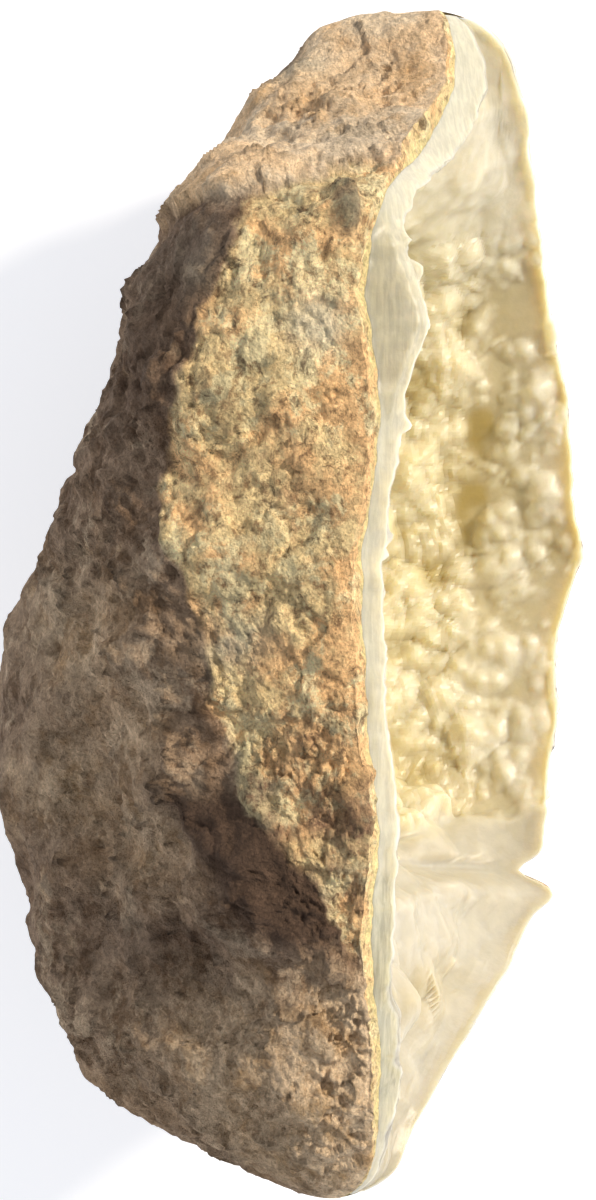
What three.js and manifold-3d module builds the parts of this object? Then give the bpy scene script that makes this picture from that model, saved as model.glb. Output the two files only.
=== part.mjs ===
// Half of a quartz geode, broken open, resting on a natural flat of its long side.
// A brown limestone rind carries one crust of milky quartz, which lines the hollow and bristles with crystal points.
// Units are millimetres and +Z is up. +X runs along the stone's long axis, and the hollow opens towards -Y and
// leans a little upwards. The stone is lofted from cross-sections that stand square to the long axis.
import * as THREE from "three";
import { mergeVertices } from "three/addons/utils/BufferGeometryUtils.js";
import Module from "manifold-3d";

// Driving dimensions of the broken edge
const FIT_GAP = 0.3; // clearance between the rind and the crust that sits in it
const RIND_AT_RIM = { near: 3.2, far: 2.6 };
const CRUST_AT_RIM = { near: 2.6, far: 4.2 };
const CRUST_PROUD = { near: 1.5, far: 2.4 }; // how far the quartz stands out past the rind's broken edge
const FULL_RIM_WIDTH = 26; // an opening narrower than this has a thinner rim
const HOLLOW_SQUARENESS = 0.72; // at 1 the hollow is a half ellipse, and under 1 it is fuller

// How finely the surfaces are cut into faces
const STEPS = { along: 40, outside: 32, seat: 8, quartz: 14 };
const CRUST_ENDS = [0.5, 13.5]; // the quartz lies between these stations
const CRYSTALS = { along: 12, across: 7, from: 4.4, to: 11.6, edge: 0.13 };
const CRYSTAL_RADIUS = [1.8, 3];
const CRYSTAL_HEIGHT = [2.6, 4.6];
const CRYSTAL_ROOT = 1; // how deep a crystal is rooted in the crust
const THINNEST_BED = 4; // where the crust is thinner, no crystal stands
const STEEPEST_RIM = 1.6; // where the near rim climbs more, no crystal stands below it
const DEEPEST_PIT = 2; // a pit goes no deeper than this into the crust

// Places of the cross-sections along the long axis. The first and the last are the stone's two tips.
const STATION_X = [-61.8, -59.5, -54, -46, -36, -24, -10, 5, 19, 31, 41, 47, 54, 60.8, 63.2];
const LOW_TIP = [-3.6, 55.5];
const TOP_TIP = [-15, 33];

// Each rail is one long line of the stone, as [y, z] at every station between the tips.
const rail = (...points) => [LOW_TIP, ...points, TOP_TIP];
const NEAR_RIM = rail(
  [-6.4, 60.5], [-7.6, 66], [-7.6, 69], [-6.4, 71.5], [-7, 73], [-5.8, 74], [-5.4, 74],
  [-7.4, 74], [-6, 73], [-7.8, 71], [-12, 54], [-15.4, 44], [-15.4, 39],
);
const SHOULDER = rail(
  [-3.2, 60], [-2, 66], [-1.5, 69.6], [-4.6, 71.8], [-2, 73], [1, 73.4], [4, 73.2],
  [3.5, 73.4], [1.8, 73.2], [-1.5, 71.4], [-3, 49.5], [-6.5, 41.5], [-8.6, 38],
);
const RIDGE = rail(
  [0, 58.5], [4, 63.5], [5, 67.8], [-0.8, 70.2], [3.4, 70.4], [8.6, 70.2], [13.8, 69.6],
  [13.4, 69.4], [9.6, 70], [4.8, 69.4], [5, 48], [0.6, 42], [-3.8, 37.5],
);
const FLANK = rail(
  [2.6, 56], [11.2, 57.6], [16, 60], [12.4, 60.6], [16, 59.4], [20, 58.8], [21.2, 57.6],
  [18, 58], [14.2, 58.6], [9.4, 58], [7, 43], [3, 39], [-2.4, 36],
);
const BACK = rail(
  [4, 51.5], [16.2, 48], [24.2, 46], [26.9, 45], [29, 44.5], [30.7, 44], [25.8, 43.5],
  [19.9, 43], [16.6, 42.5], [11.6, 41], [6.4, 36], [3.2, 34], [-2.4, 33],
);
const UNDERSIDE = rail(
  [3, 49], [12.6, 39.5], [20.4, 30], [25, 22], [28.4, 18], [30, 17], [26, 16.5],
  [20, 16], [16, 16], [11.2, 16], [6, 16.5], [1.4, 20], [-4, 28.5],
);
const BASE_BACK = rail(
  [-1, 48.6], [3, 37], [7, 19.5], [12, 2.5], [18, -2.5], [20.5, -2.5], [17.5, -2.5],
  [13, -2.5], [9.5, -2.5], [5, -2], [0, 1], [-7.5, 10], [-12.5, 25],
);
const BASE_FRONT = rail(
  [-7.4, 50], [-8.4, 39.5], [-12, 25.5], [-15.4, 5.5], [-20.5, -2.3], [-22.5, -2.5], [-24.5, -2.5],
  [-23, -2.5], [-21, -2.5], [-19, -1.6], [-18, 2.6], [-18, 10.5], [-16.8, 24],
);
const FAR_RIM = rail(
  [-9.6, 52], [-11.8, 47], [-17.6, 36], [-24.6, 17.6], [-27.2, 6.5], [-28.6, 3.8], [-30.6, 3.4],
  [-30.4, 3.4], [-28.4, 4.2], [-26.6, 7.4], [-25.6, 11.5], [-24.6, 18.4], [-22, 26],
);
const OUTER_RAILS = [NEAR_RIM, SHOULDER, RIDGE, FLANK, BACK, UNDERSIDE, BASE_BACK, BASE_FRONT, FAR_RIM];

// Depth below the broken face at every station: of the quartz surface, and of the rind behind it
const HOLLOW_DEPTH = [0, 0.6, 1.2, 2, 4.5, 15, 26, 30, 29, 22, 12, 5, 2.2, 1, 0];
const CRUST_DEPTH = [0, 3.4, 7.5, 12, 19, 29, 36, 38, 36, 28.5, 20, 13, 8, 4.2, 0];

// Where the far rim swells, is notched or has a tooth: shifts along Y
const RIM_BITES = [
  { x: -29.7, reach: 1.2, shift: 2.6 },
  { x: -32.4, reach: 1.6, shift: -2.2 },
  { x: 5.5, reach: 4, shift: -1.5 },
  { x: -13.5, reach: 3.5, shift: -0.9 },
  { x: 46.5, reach: 2.5, shift: -0.6 },
];
const NOTCH_STATIONS = [4.28, 4.42, 4.52, 4.63];

// Lumps and dents of the weathered outside: centre, reach and height, and a dent's height is negative
const OUTSIDE_LUMPS = [
  { at: [-2, 23, 55], reach: 7.5, height: 2.4 },
  { at: [-20, 20, 59], reach: 8, height: 2.2 },
  { at: [-13, 31, 46], reach: 7, height: 1.2 },
  { at: [-31, 17, 61], reach: 4.5, height: -2 },
  { at: [-30, 6, 68], reach: 4.5, height: -2.2 },
  { at: [-17, 13, 66], reach: 4.5, height: -1.8 },
  { at: [-4, 15.5, 65], reach: 4, height: -1.4 },
  { at: [-44, 8, 68], reach: 8, height: 1.6 },
  { at: [-50, 18, 58], reach: 6, height: 1.2 },
  { at: [12, 14, 68], reach: 5, height: 1.4 },
  { at: [27, 14, 62], reach: 4, height: -1.2 },
  { at: [37.5, -4.6, 71], reach: 2.6, height: -2.4 },
  { at: [52, -3, 44], reach: 6, height: -1.6 },
  { at: [43, 8, 44], reach: 4, height: 1.2 },
  { at: [10, 26, 22], reach: 10, height: 1.2 },
  { at: [-28, 28, 28], reach: 10, height: 1.2 },
];

// Swells and pits of the quartz surface inside the hollow
const HOLLOW_LUMPS = [
  { at: [13, -17, 8], reach: 4.5, height: -2.2 },
  { at: [6, -14, 9], reach: 3.5, height: -1.8 },
  { at: [4, -9, 10], reach: 3, height: -1.4 },
  { at: [-20, -15, 10], reach: 5, height: -1.8 },
  { at: [23, -10, 10], reach: 4.5, height: -1.8 },
  { at: [27, -16, 9], reach: 5, height: 2 },
  { at: [-8, -22, 8], reach: 6, height: 1.6 },
  { at: [-30, -20, 20], reach: 6, height: 2.2 },
  { at: [30, -9, 66], reach: 4.5, height: 2.4 },
  { at: [-4, 8, 25], reach: 7, height: 2.4 },
  { at: [14, 6, 40], reach: 6, height: -2.4 },
  { at: [-14, 4, 48], reach: 6, height: 2 },
];

const GOLDEN_ANGLE = Math.PI * (3 - Math.sqrt(5));
const LAST = STATION_X.length - 1;
const clamp = (value, low, high) => Math.min(Math.max(value, low), high);
const lerp = (a, b, t) => a + (b - a) * t;
const bell = (distance, reach) => Math.exp(-((distance / reach) ** 2));

// Sum of sine waves that run in evenly spread directions: a smooth, repeatable unevenness of about -1 to 1.
function unevenness(point, wavelength, count, seed) {
  let sum = 0;
  for (let i = 0; i < count; i++) {
    const rise = 1 - (2 * i + 1) / count;
    const flat = Math.sqrt(1 - rise * rise);
    const turn = GOLDEN_ANGLE * i + seed;
    const phase = flat * Math.cos(turn) * point.x + flat * Math.sin(turn) * point.y + rise * point.z;
    sum += Math.sin((2 * Math.PI * phase) / wavelength + 2.4 * i + seed);
  }
  return sum / Math.sqrt(count);
}

// The value at t on the smooth curve through values at whole steps. The curve runs straight on at the stone's tips,
// or turns back there, which makes both ends of the stone come out round.
function along(values, t, turnsBack = false) {
  const i = clamp(Math.floor(t), 0, LAST - 1);
  const f = t - i;
  const [p1, p2] = [values[i], values[i + 1]];
  const p0 = values[i - 1] ?? (turnsBack ? p2 : 2 * p1 - p2);
  const p3 = values[i + 2] ?? (turnsBack ? p1 : 2 * p2 - p1);
  const bend = (2 * p0 - 5 * p1 + 4 * p2 - p3) * f * f + (3 * p1 - p0 - 3 * p2 + p3) * f * f * f;
  return 0.5 * (2 * p1 + (p2 - p0) * f + bend);
}

const railAt = (points, t) =>
  new THREE.Vector2(along(points.map((p) => p[0]), t), along(points.map((p) => p[1]), t));

// Points on the smooth curve through the corners of one cross-section, paced by the length of its spans
function throughCorners(corners, steps) {
  const last = corners.length - 1;
  const spans = corners.slice(1).map((c, i) => Math.max(c.distanceTo(corners[i]), 1e-4));
  const ways = corners.slice(1).map((c, i) => c.clone().sub(corners[i]).divideScalar(spans[i]));
  const slopes = corners.map((_, i) => {
    if (i === 0 || i === last) return ways[Math.min(i, last - 1)].clone();
    const sum = ways[i - 1].clone().multiplyScalar(spans[i]).addScaledVector(ways[i], spans[i - 1]);
    return sum.divideScalar(spans[i - 1] + spans[i]);
  });
  return Array.from({ length: steps + 1 }, (_, s) => {
    const t = (s / steps) * last;
    const i = Math.min(Math.floor(t), last - 1);
    const [f, f2, f3] = [t - i, (t - i) ** 2, (t - i) ** 3];
    return corners[i].clone().multiplyScalar(2 * f3 - 3 * f2 + 1)
      .addScaledVector(slopes[i], (f3 - 2 * f2 + f) * spans[i])
      .addScaledVector(corners[i + 1], 3 * f2 - 2 * f3)
      .addScaledVector(slopes[i + 1], (f3 - f2) * spans[i]);
  });
}

// The broken face at one station: its two edges, the way across it and the way into the stone
function brokenFace(t) {
  const x = along(STATION_X, t, true);
  const near = railAt(NEAR_RIM, t);
  const far = railAt(FAR_RIM, t);
  const width = near.distanceTo(far);
  const share = Math.min(1, width / FULL_RIM_WIDTH);
  for (const bite of RIM_BITES) far.x += bite.shift * bell(x - bite.x, bite.reach) * share;
  const across = near.clone().sub(far).normalize();
  return { x, near, far, across, inwards: new THREE.Vector2(across.y, -across.x), share };
}

// One point of a round-bottomed arc from the far rim (turn 0) to the near rim (turn pi). It starts a little inside
// either edge, goes down to a depth below the broken face, and can stand proud of the face at its ends.
function arcPoint(face, turn, inset, depth, proud) {
  const start = face.far.clone().addScaledVector(face.across, inset.far * face.share);
  const end = face.near.clone().addScaledVector(face.across, -inset.near * face.share);
  const lift = lerp(proud.far, proud.near, turn / Math.PI) * face.share * Math.cos(turn) ** 4;
  return start.lerp(end, (1 - Math.cos(turn)) / 2)
    .addScaledVector(face.inwards, depth * Math.max(Math.sin(turn), 0) ** HOLLOW_SQUARENESS - lift);
}

const turnsOver = (steps) => Array.from({ length: steps + 1 }, (_, s) => (Math.PI * s) / steps);
const inSpace = (x, p) => new THREE.Vector3(x, p.x, p.y);

// The sum of the lumps of a list that reach a point
function lumpsAt(point, lumps) {
  return lumps.reduce((sum, l) => sum + l.height * bell(point.distanceTo(new THREE.Vector3(...l.at)), l.reach), 0);
}

// The way out at one point of an open run, square to the line between its neighbours
function outwardsAt(run, i, side) {
  const tangent = run[Math.min(i + 1, run.length - 1)].clone().sub(run[Math.max(i - 1, 0)]).normalize();
  return new THREE.Vector3(0, -tangent.y * side, tangent.x * side);
}

// How much wider a gap has to be in the cross-section where the near rim climbs steeply along the stone
function steepness(t) {
  const [before, after] = [brokenFace(t - 0.1), brokenFace(t + 0.1)];
  return Math.min(Math.hypot(1, before.near.distanceTo(after.near) / (after.x - before.x)), 3.5);
}

// One point of the seat between rind and crust, moved by a gap towards the hollow
function seatPoint(t, turn, gap) {
  const face = brokenFace(t);
  const inwards = (gap * steepness(t)) / Math.max(face.share, 0.4);
  const inset = { far: RIND_AT_RIM.far + inwards, near: RIND_AT_RIM.near + inwards };
  const depth = Math.max(along(CRUST_DEPTH, t) - 1.6 * gap, 0.6);
  return inSpace(face.x, arcPoint(face, turn, inset, depth, { far: 0, near: 0 }));
}

// The closed outline of the rind at one station: the weathered outside, then back under the quartz
function rindRing(t) {
  const face = brokenFace(t);
  const corners = [face.near, ...OUTER_RAILS.slice(1, -1).map((points) => railAt(points, t)), face.far];
  const outside = throughCorners(corners, STEPS.outside);
  const skin = outside.map((p, i) => {
    const point = inSpace(face.x, p);
    const fade = Math.min(1, i / 3, (outside.length - 1 - i) / 3) * face.share;
    const rough = 0.55 * unevenness(point, 13, 9, 1.3) + 0.32 * unevenness(point, 5.2, 11, 4.1);
    return point.clone().addScaledVector(outwardsAt(outside, i, -1), fade * (rough + lumpsAt(point, OUTSIDE_LUMPS)));
  });
  return [...skin, ...turnsOver(STEPS.seat).map((turn) => seatPoint(t, turn, 0))];
}

// One point of the quartz surface, with its swells and pits
function quartzPoint(t, turn) {
  const face = brokenFace(t);
  const inset = { far: RIND_AT_RIM.far + CRUST_AT_RIM.far, near: RIND_AT_RIM.near + CRUST_AT_RIM.near };
  const bare = arcPoint(face, turn, inset, along(HOLLOW_DEPTH, t), CRUST_PROUD);
  const step = 0.02;
  const slope = arcPoint(face, turn + step, inset, along(HOLLOW_DEPTH, t), CRUST_PROUD).sub(bare).normalize();
  const outwards = new THREE.Vector3(0, -slope.y, slope.x);
  const point = inSpace(face.x, bare);
  const fade = clamp((4 * Math.min(turn, Math.PI - turn)) / Math.PI, 0, 1) * face.share;
  const swell = 0.7 * unevenness(point, 9, 9, 2.2) + lumpsAt(point, HOLLOW_LUMPS);
  return point.addScaledVector(outwards, fade * Math.max(swell, -DEEPEST_PIT));
}

// The closed outline of the crust at one station: the quartz surface, then its back against the rind
function crustRing(t) {
  const behind = turnsOver(STEPS.seat).map((turn) => seatPoint(t, turn, FIT_GAP)).reverse();
  return [...turnsOver(STEPS.quartz).map((turn) => quartzPoint(t, turn)), ...behind];
}

// The stations between the tips, a little denser towards the tips and at the notch in the rim. The rind and the
// crust share them, so the facets on either side of the gap between the two stay parallel.
function stations() {
  const even = Array.from({ length: STEPS.along - 1 }, (_, s) => (s + 1) / STEPS.along);
  const eased = even.map((share) => LAST * (share - 0.05 * Math.sin(2 * Math.PI * share)));
  return [...eased, ...NOTCH_STATIONS].sort((a, b) => a - b);
}

// Joins rings of points, with a single point at each end, into one closed mesh whose faces point out.
// Each four-sided patch is split along its shorter diagonal.
function loft(rings, lowTip, topTip) {
  const count = rings[0].length;
  const points = [lowTip, ...rings.flat(), topTip];
  const at = (ring, i) => 1 + ring * count + (i % count);
  const faces = [];
  for (let i = 0; i < count; i++) {
    faces.push(0, at(0, i), at(0, i + 1));
    faces.push(points.length - 1, at(rings.length - 1, i + 1), at(rings.length - 1, i));
    for (let ring = 0; ring < rings.length - 1; ring++) {
      const [a, b, c, d] = [at(ring, i), at(ring, i + 1), at(ring + 1, i + 1), at(ring + 1, i)];
      const split = points[a].distanceTo(points[c]) <= points[b].distanceTo(points[d]);
      faces.push(...(split ? [a, c, b, a, d, c] : [a, d, b, b, d, c]));
    }
  }
  const geometry = new THREE.BufferGeometry().setFromPoints(points);
  geometry.setIndex(faces);
  return geometry;
}

const middleOf = (points) =>
  points.reduce((sum, p) => sum.add(p), new THREE.Vector3()).divideScalar(points.length);

const wasm = await Module();
wasm.setup();

// A closed mesh as a solid that can be joined and cut
function solidOf(geometry) {
  const bare = new THREE.BufferGeometry().setAttribute("position", geometry.getAttribute("position"));
  bare.setIndex(geometry.getIndex());
  const merged = mergeVertices(bare, 1e-4);
  return new wasm.Manifold(new wasm.Mesh({
    numProp: 3,
    vertProperties: new Float32Array(merged.attributes.position.array),
    triVerts: new Uint32Array(merged.index.array),
  }));
}

function geometryOf(solid) {
  const mesh = solid.getMesh();
  const geometry = new THREE.BufferGeometry();
  geometry.setAttribute("position", new THREE.BufferAttribute(mesh.vertProperties, 3));
  geometry.setIndex(new THREE.BufferAttribute(mesh.triVerts, 1));
  return geometry;
}

// The rind: a rough limestone shell, cut flat where it rests
function makeRind() {
  const rings = stations().map(rindRing);
  const tips = [inSpace(STATION_X[0], railAt(NEAR_RIM, 0)), inSpace(STATION_X[LAST], railAt(NEAR_RIM, LAST))];
  return solidOf(loft(rings, ...tips)).trimByPlane([0, 0, 1], 0);
}

// One quartz crystal: a six-sided prism under a six-sided point, rooted below its foot
function makeCrystal(foot, direction, radius, height, spin) {
  const sides = 6;
  const tipShare = 0.55; // how much of the height is the point
  const outline = [
    new THREE.Vector2(0, -CRYSTAL_ROOT),
    new THREE.Vector2(radius * 0.7, -CRYSTAL_ROOT),
    new THREE.Vector2(radius, height * (1 - tipShare)),
    new THREE.Vector2(0, height),
  ];
  const turned = new THREE.LatheGeometry(outline, sides);
  const bare = new THREE.BufferGeometry().setAttribute("position", turned.getAttribute("position"));
  bare.setIndex(turned.getIndex());
  const aim = new THREE.Quaternion().setFromUnitVectors(new THREE.Vector3(0, 1, 0), direction);
  const spun = new THREE.Quaternion().setFromAxisAngle(new THREE.Vector3(0, 1, 0), spin);
  bare.applyQuaternion(aim.multiply(spun)).translate(foot.x, foot.y, foot.z);
  return solidOf(bare);
}

// The crystals that stand in the hollow, in loose rows, each leaning its own way
function makeCrystals() {
  const made = [];
  for (let row = 0; row < CRYSTALS.along; row++) {
    for (let i = 0; i < CRYSTALS.across; i++) {
      const number = row * CRYSTALS.across + i;
      const wander = (k) => ((number + 1) * GOLDEN_ANGLE * k) % 1; // evenly scattered between 0 and 1
      const t = lerp(CRYSTALS.from, CRYSTALS.to, (row + wander(1)) / CRYSTALS.along);
      const turn = Math.PI * lerp(CRYSTALS.edge, 1 - CRYSTALS.edge, (i + wander(3)) / CRYSTALS.across);
      const foot = quartzPoint(t, turn);
      const thin = foot.distanceTo(seatPoint(t, turn, FIT_GAP)) < THINNEST_BED;
      if (thin || (turn > Math.PI / 2 && steepness(t) > STEEPEST_RIM)) continue;
      const alongStone = quartzPoint(t + 0.05, turn).sub(foot);
      const acrossStone = quartzPoint(t, turn + 0.05).sub(foot);
      const outwards = alongStone.cross(acrossStone).normalize();
      outwards.x += 0.5 * (wander(5) - 0.5);
      outwards.z += 0.5 * (wander(7) - 0.5);
      const radius = lerp(...CRYSTAL_RADIUS, wander(11));
      const height = lerp(...CRYSTAL_HEIGHT, wander(13));
      made.push(makeCrystal(foot, outwards.normalize(), radius, height, 2 * Math.PI * wander(17)));
    }
  }
  return made;
}

// The crust: one body of quartz from the rind to the crystal points
function makeCrust() {
  const rings = stations().filter((t) => t > CRUST_ENDS[0] && t < CRUST_ENDS[1]).map(crustRing);
  const bed = solidOf(loft(rings, middleOf(rings[0]), middleOf(rings.at(-1))));
  return makeCrystals().reduce((joined, crystal) => joined.add(crystal), bed);
}

const PIECES = {
  rind: { solid: makeRind(), finish: { color: 0x9c8468, roughness: 0.95, metalness: 0 } },
  crystal_crust: { solid: makeCrust(), finish: { color: 0xe9e2c4, roughness: 0.25, metalness: 0 } },
};

// The whole stone, moved so that the origin lies on the base below its middle
function makeGeode() {
  const group = new THREE.Group();
  const box = new THREE.Box3();
  for (const [name, { solid, finish }] of Object.entries(PIECES)) {
    const piece = new THREE.Mesh(geometryOf(solid), new THREE.MeshStandardMaterial(finish));
    piece.name = name;
    piece.geometry.computeBoundingBox();
    box.union(piece.geometry.boundingBox);
    group.add(piece);
  }
  const middle = box.getCenter(new THREE.Vector3());
  for (const piece of group.children) piece.geometry.translate(-middle.x, -middle.y, -box.min.z);
  return group;
}

export default makeGeode();
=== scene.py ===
"""Dresses the geode half: a weathered limestone rind, and milky quartz with drusy crystals in its hollow.

The large shape is the same lofted form as the part's solids. Lengths in the shape code are millimetres in
the stone's own coordinates, where +X runs along the stone and the hollow opens towards -Y, and
StoneForm.to_frame moves them into the frame of the part, in metres. A place on the stone has two
parameters: t counts the stations along it, and s counts the corners or the parts across it.
"""
import logging
import math
from collections.abc import Mapping, Sequence
from dataclasses import dataclass, field
from enum import Enum

import bpy
import numpy as np
from numpy.typing import NDArray
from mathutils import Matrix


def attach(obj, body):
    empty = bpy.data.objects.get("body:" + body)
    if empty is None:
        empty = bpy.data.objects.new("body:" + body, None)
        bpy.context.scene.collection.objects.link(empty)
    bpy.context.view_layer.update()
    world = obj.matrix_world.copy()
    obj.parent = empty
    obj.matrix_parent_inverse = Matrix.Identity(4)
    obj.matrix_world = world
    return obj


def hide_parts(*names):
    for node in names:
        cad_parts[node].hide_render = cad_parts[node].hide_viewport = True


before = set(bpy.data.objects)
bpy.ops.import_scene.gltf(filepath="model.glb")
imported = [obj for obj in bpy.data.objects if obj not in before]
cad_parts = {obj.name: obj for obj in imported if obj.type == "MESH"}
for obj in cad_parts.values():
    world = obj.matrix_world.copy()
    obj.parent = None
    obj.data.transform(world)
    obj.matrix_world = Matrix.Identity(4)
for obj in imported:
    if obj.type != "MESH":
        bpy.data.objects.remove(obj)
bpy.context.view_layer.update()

Array = NDArray[np.float64]
Whole = NDArray[np.int64]
Socket = bpy.types.NodeSocket
log = logging.getLogger("geode")

MM = 0.001
GOLDEN_ANGLE = math.pi * (3 - math.sqrt(5))
TINY = 1e-9  # mm, keeps a division by a length from being one by nothing
FAR_OFF = 9.0  # cells, further than any centre that a search can find
LATTICE_SHIFT = 1000.0  # cells, keeps all lattice coordinates positive
NOISE_GAIN = 1.6  # brings gradient noise to about -1 to 1
HASH_FACTORS = tuple(np.uint32(factor) for factor in (0x8DA6B343, 0xD8163841, 0xCB1AB31F))
HASH_STIRS = ((np.uint32(15), np.uint32(0x2C1B3C6D)), (np.uint32(12), np.uint32(0x297A2D39)))
HASH_LAST_SHIFT = np.uint32(15)
HASH_SEED_FACTOR = 0x9E3779B1
WHOLE_RANGE = 0xFFFFFFFF  # largest number of 32 bits


class Slot(Enum):
    """Material slots of the part's record."""

    RIND = "rind"
    CRUST = "crystal_crust"


# ---- Patterns in space ----


def hashed(cells: Whole, seed: int) -> Array:
    """Gives each cell of a cubic lattice its own number.

    The three whole coordinates are multiplied by large odd numbers, joined bit by bit and stirred twice.

    Args:
        cells: Whole lattice coordinates, of shape (..., 3).
        seed: Picks another set of numbers.

    Returns:
        One number from 0 to 1 for each cell, of shape (...).
    """
    whole = cells.astype(np.uint32)
    code = np.full(cells.shape[:-1], np.uint32((seed * HASH_SEED_FACTOR) & WHOLE_RANGE))
    for axis, factor in enumerate(HASH_FACTORS):
        code = code ^ whole[..., axis] * factor
    for shift, factor in HASH_STIRS:
        code = (code ^ (code >> shift)) * factor
    return (code ^ (code >> HASH_LAST_SHIFT)).astype(np.float64) / WHOLE_RANGE


def hashed_places(cells: Whole, seed: int) -> Array:
    """Three numbers of each cell, from the seed and the next two, as a place in it or as a slope."""
    return np.stack([hashed(cells, seed + k) for k in range(3)], axis=-1)


def on_lattice(points: Array, size: float) -> tuple[Array, Whole]:
    """Places counted in cells of a cubic lattice, and the whole coordinates of the cell that holds each."""
    scaled = points / size + LATTICE_SHIFT
    return scaled, np.floor(scaled).astype(np.int64)


def unit(vectors: Array) -> Array:
    """Vectors of length one in the same directions, worked out over the last axis."""
    return vectors / np.maximum(np.linalg.norm(vectors, axis=-1, keepdims=True), TINY)


def bell(distance: Array, reach: float) -> Array:
    """Smooth bump that is 1 at no distance and fades over its reach."""
    return np.exp(-((distance / reach) ** 2))


def rise(values: Array, low: float, high: float) -> Array:
    """Smooth step: 0 up to low, 1 from high on, with an eased slope between."""
    t = np.clip((values - low) / (high - low), 0, 1)
    return t * t * (3 - 2 * t)


def stretch(values: Array, low: float, full: float, fading: float, gone: float) -> Array:
    """Smooth stretch: 0 up to low, 1 from full to fading, and 0 again from gone on."""
    return rise(values, low, full) * (1 - rise(values, fading, gone))


def smooth_noise(points: Array, wavelength: float, seed: int) -> Array:
    """Gradient noise: random slopes at the corners of a lattice, blended smoothly between them.

    A corner's share of the blend is a product over the three axes of 6 f^5 - 15 f^4 + 10 f^3, where f is how
    near the point lies to the corner along that axis.

    Args:
        points: Places in mm, of shape (..., 3).
        wavelength: Size of a lattice cell in mm.
        seed: Picks another pattern.

    Returns:
        Values of about -1 to 1, of shape (...).
    """
    scaled, cell = on_lattice(points, wavelength)
    f = scaled - cell
    ease = f * f * f * (f * (f * 6 - 15) + 10)
    total = np.zeros(points.shape[:-1])
    for corner in np.ndindex(2, 2, 2):
        slopes = hashed_places(cell + corner, seed * 3) * 2 - 1
        share = np.prod(np.where(np.array(corner) == 1, ease, 1 - ease), axis=-1)
        total += share * np.sum(slopes * (f - corner), axis=-1)
    return total * NOISE_GAIN


@dataclass(frozen=True)
class Relief:
    """Sum of gradient noises, each half as long as the one before and gain times as strong."""

    wavelength: float  # mm, of the coarsest noise
    octaves: int
    gain: float
    seed: int

    def at(self, points: Array) -> Array:
        """Values of about -1 to 1 at the points, which are places in mm of shape (..., 3)."""
        total = np.zeros(points.shape[:-1])
        for octave in range(self.octaves):
            noise = smooth_noise(points, self.wavelength / 2**octave, self.seed + 17 * octave)
            total += self.gain**octave * noise
        return total / math.sqrt(sum(self.gain ** (2 * k) for k in range(self.octaves)))


@dataclass(frozen=True)
class Wander:
    """Small wander of a line along the stone: its height in mm, and the relief that it is read from."""

    height: float
    relief: Relief
    level: float  # mm along Y, tells the wanders apart

    def along(self, x: Array) -> Array:
        """Values of about -1 to 1 at places along the stone, of the same shape."""
        return self.relief.at(np.stack([x, 0 * x + self.level, 0 * x + 0.5], axis=-1))


def cell_distances(points: Array, size: float, seed: int) -> tuple[Array, Array, Array]:
    """Distances to scattered centres, of which each lattice cell has one at a random place.

    Args:
        points: Places in mm, of shape (..., 3).
        size: Size of a lattice cell in mm.
        seed: Picks another pattern.

    Returns:
        The distance to the nearest centre and to the second nearest, both in cell sizes, and the nearest
        centre's own random number.
    """
    scaled, cell = on_lattice(points, size)
    first = second = np.full(points.shape[:-1], FAR_OFF)
    owner = np.zeros(points.shape[:-1])
    for step in np.ndindex(3, 3, 3):
        at = cell + step - 1
        centre = at + hashed_places(at, seed * 5)
        distance = np.linalg.norm(scaled - centre, axis=-1)
        nearer = distance < first
        second = np.where(nearer, first, np.minimum(second, distance))
        owner = np.where(nearer, hashed(at, seed * 5 + 3), owner)
        first = np.where(nearer, distance, first)
    return first, second, owner


def hex_points(points: Array, normals: Array, size: float, steep: float, seed: int) -> Array:
    """Grown-together crystal points: the upper envelope of many six-sided pyramids.

    Each scattered centre has a pyramid, turned and leaning its own way. Its height is a random number, less
    its steepness times the six-sided distance in the surface, which is the radius times the cosine of the
    angle from the nearest face, and less a part of the way off the surface. The highest pyramid counts.

    Args:
        points: Places in mm, of shape (..., 3).
        normals: Unit normals of the surface there, of the same shape.
        size: Mean distance of the pyramids in mm.
        steep: How steep their faces are.
        seed: Picks another pattern.

    Returns:
        Heights of about -0.5 to 0.4 times the size, in mm.
    """
    height_range, lean, beside = 0.45, 0.6, 0.8
    side = unit(np.cross(normals, np.array([1.0, 0, 0])))
    other = np.cross(normals, side)
    scaled, cell = on_lattice(points, size)
    first_seed = seed * 11
    best = np.full(points.shape[:-1], -FAR_OFF)
    for step in np.ndindex(3, 3, 3):
        at = cell + step - 1
        way = scaled - at - hashed_places(at, first_seed)
        turned, lean_u, lean_v, tall = (hashed(at, first_seed + k) for k in range(3, 7))
        u, v, off = (np.sum(way * axis, axis=-1) for axis in (side, other, normals))
        angle = np.arctan2(v, u) - turned * math.pi / 3
        angle = np.mod(angle + math.pi / 6, math.pi / 3) - math.pi / 6
        level = height_range * tall - steep * np.hypot(u, v) * np.cos(angle) - beside * np.abs(off)
        level += lean * (lean_u - 0.5) * u + lean * (lean_v - 0.5) * v
        best = np.maximum(best, level)
    return best * size


def unevenness(points: Array, wavelength: float, count: int, seed: float) -> Array:
    """Sum of sine waves that run in evenly spread directions, the same as in the part's solids.

    Args:
        points: Places in mm, of shape (..., 3).
        wavelength: Length of the waves in mm.
        count: How many waves are summed.
        seed: Turns and shifts the waves.

    Returns:
        Values of about -1 to 1, of shape (...).
    """
    phase_step = 2.4
    i = np.arange(count)
    up = 1 - (2 * i + 1) / count
    flat = np.sqrt(1 - up * up)
    turn = GOLDEN_ANGLE * i + seed
    ways = np.stack([flat * np.cos(turn), flat * np.sin(turn), up], axis=0)
    waves = np.sin(2 * math.pi * (points @ ways) / wavelength + phase_step * i + seed)
    return waves.sum(axis=-1) / math.sqrt(count)


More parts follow.
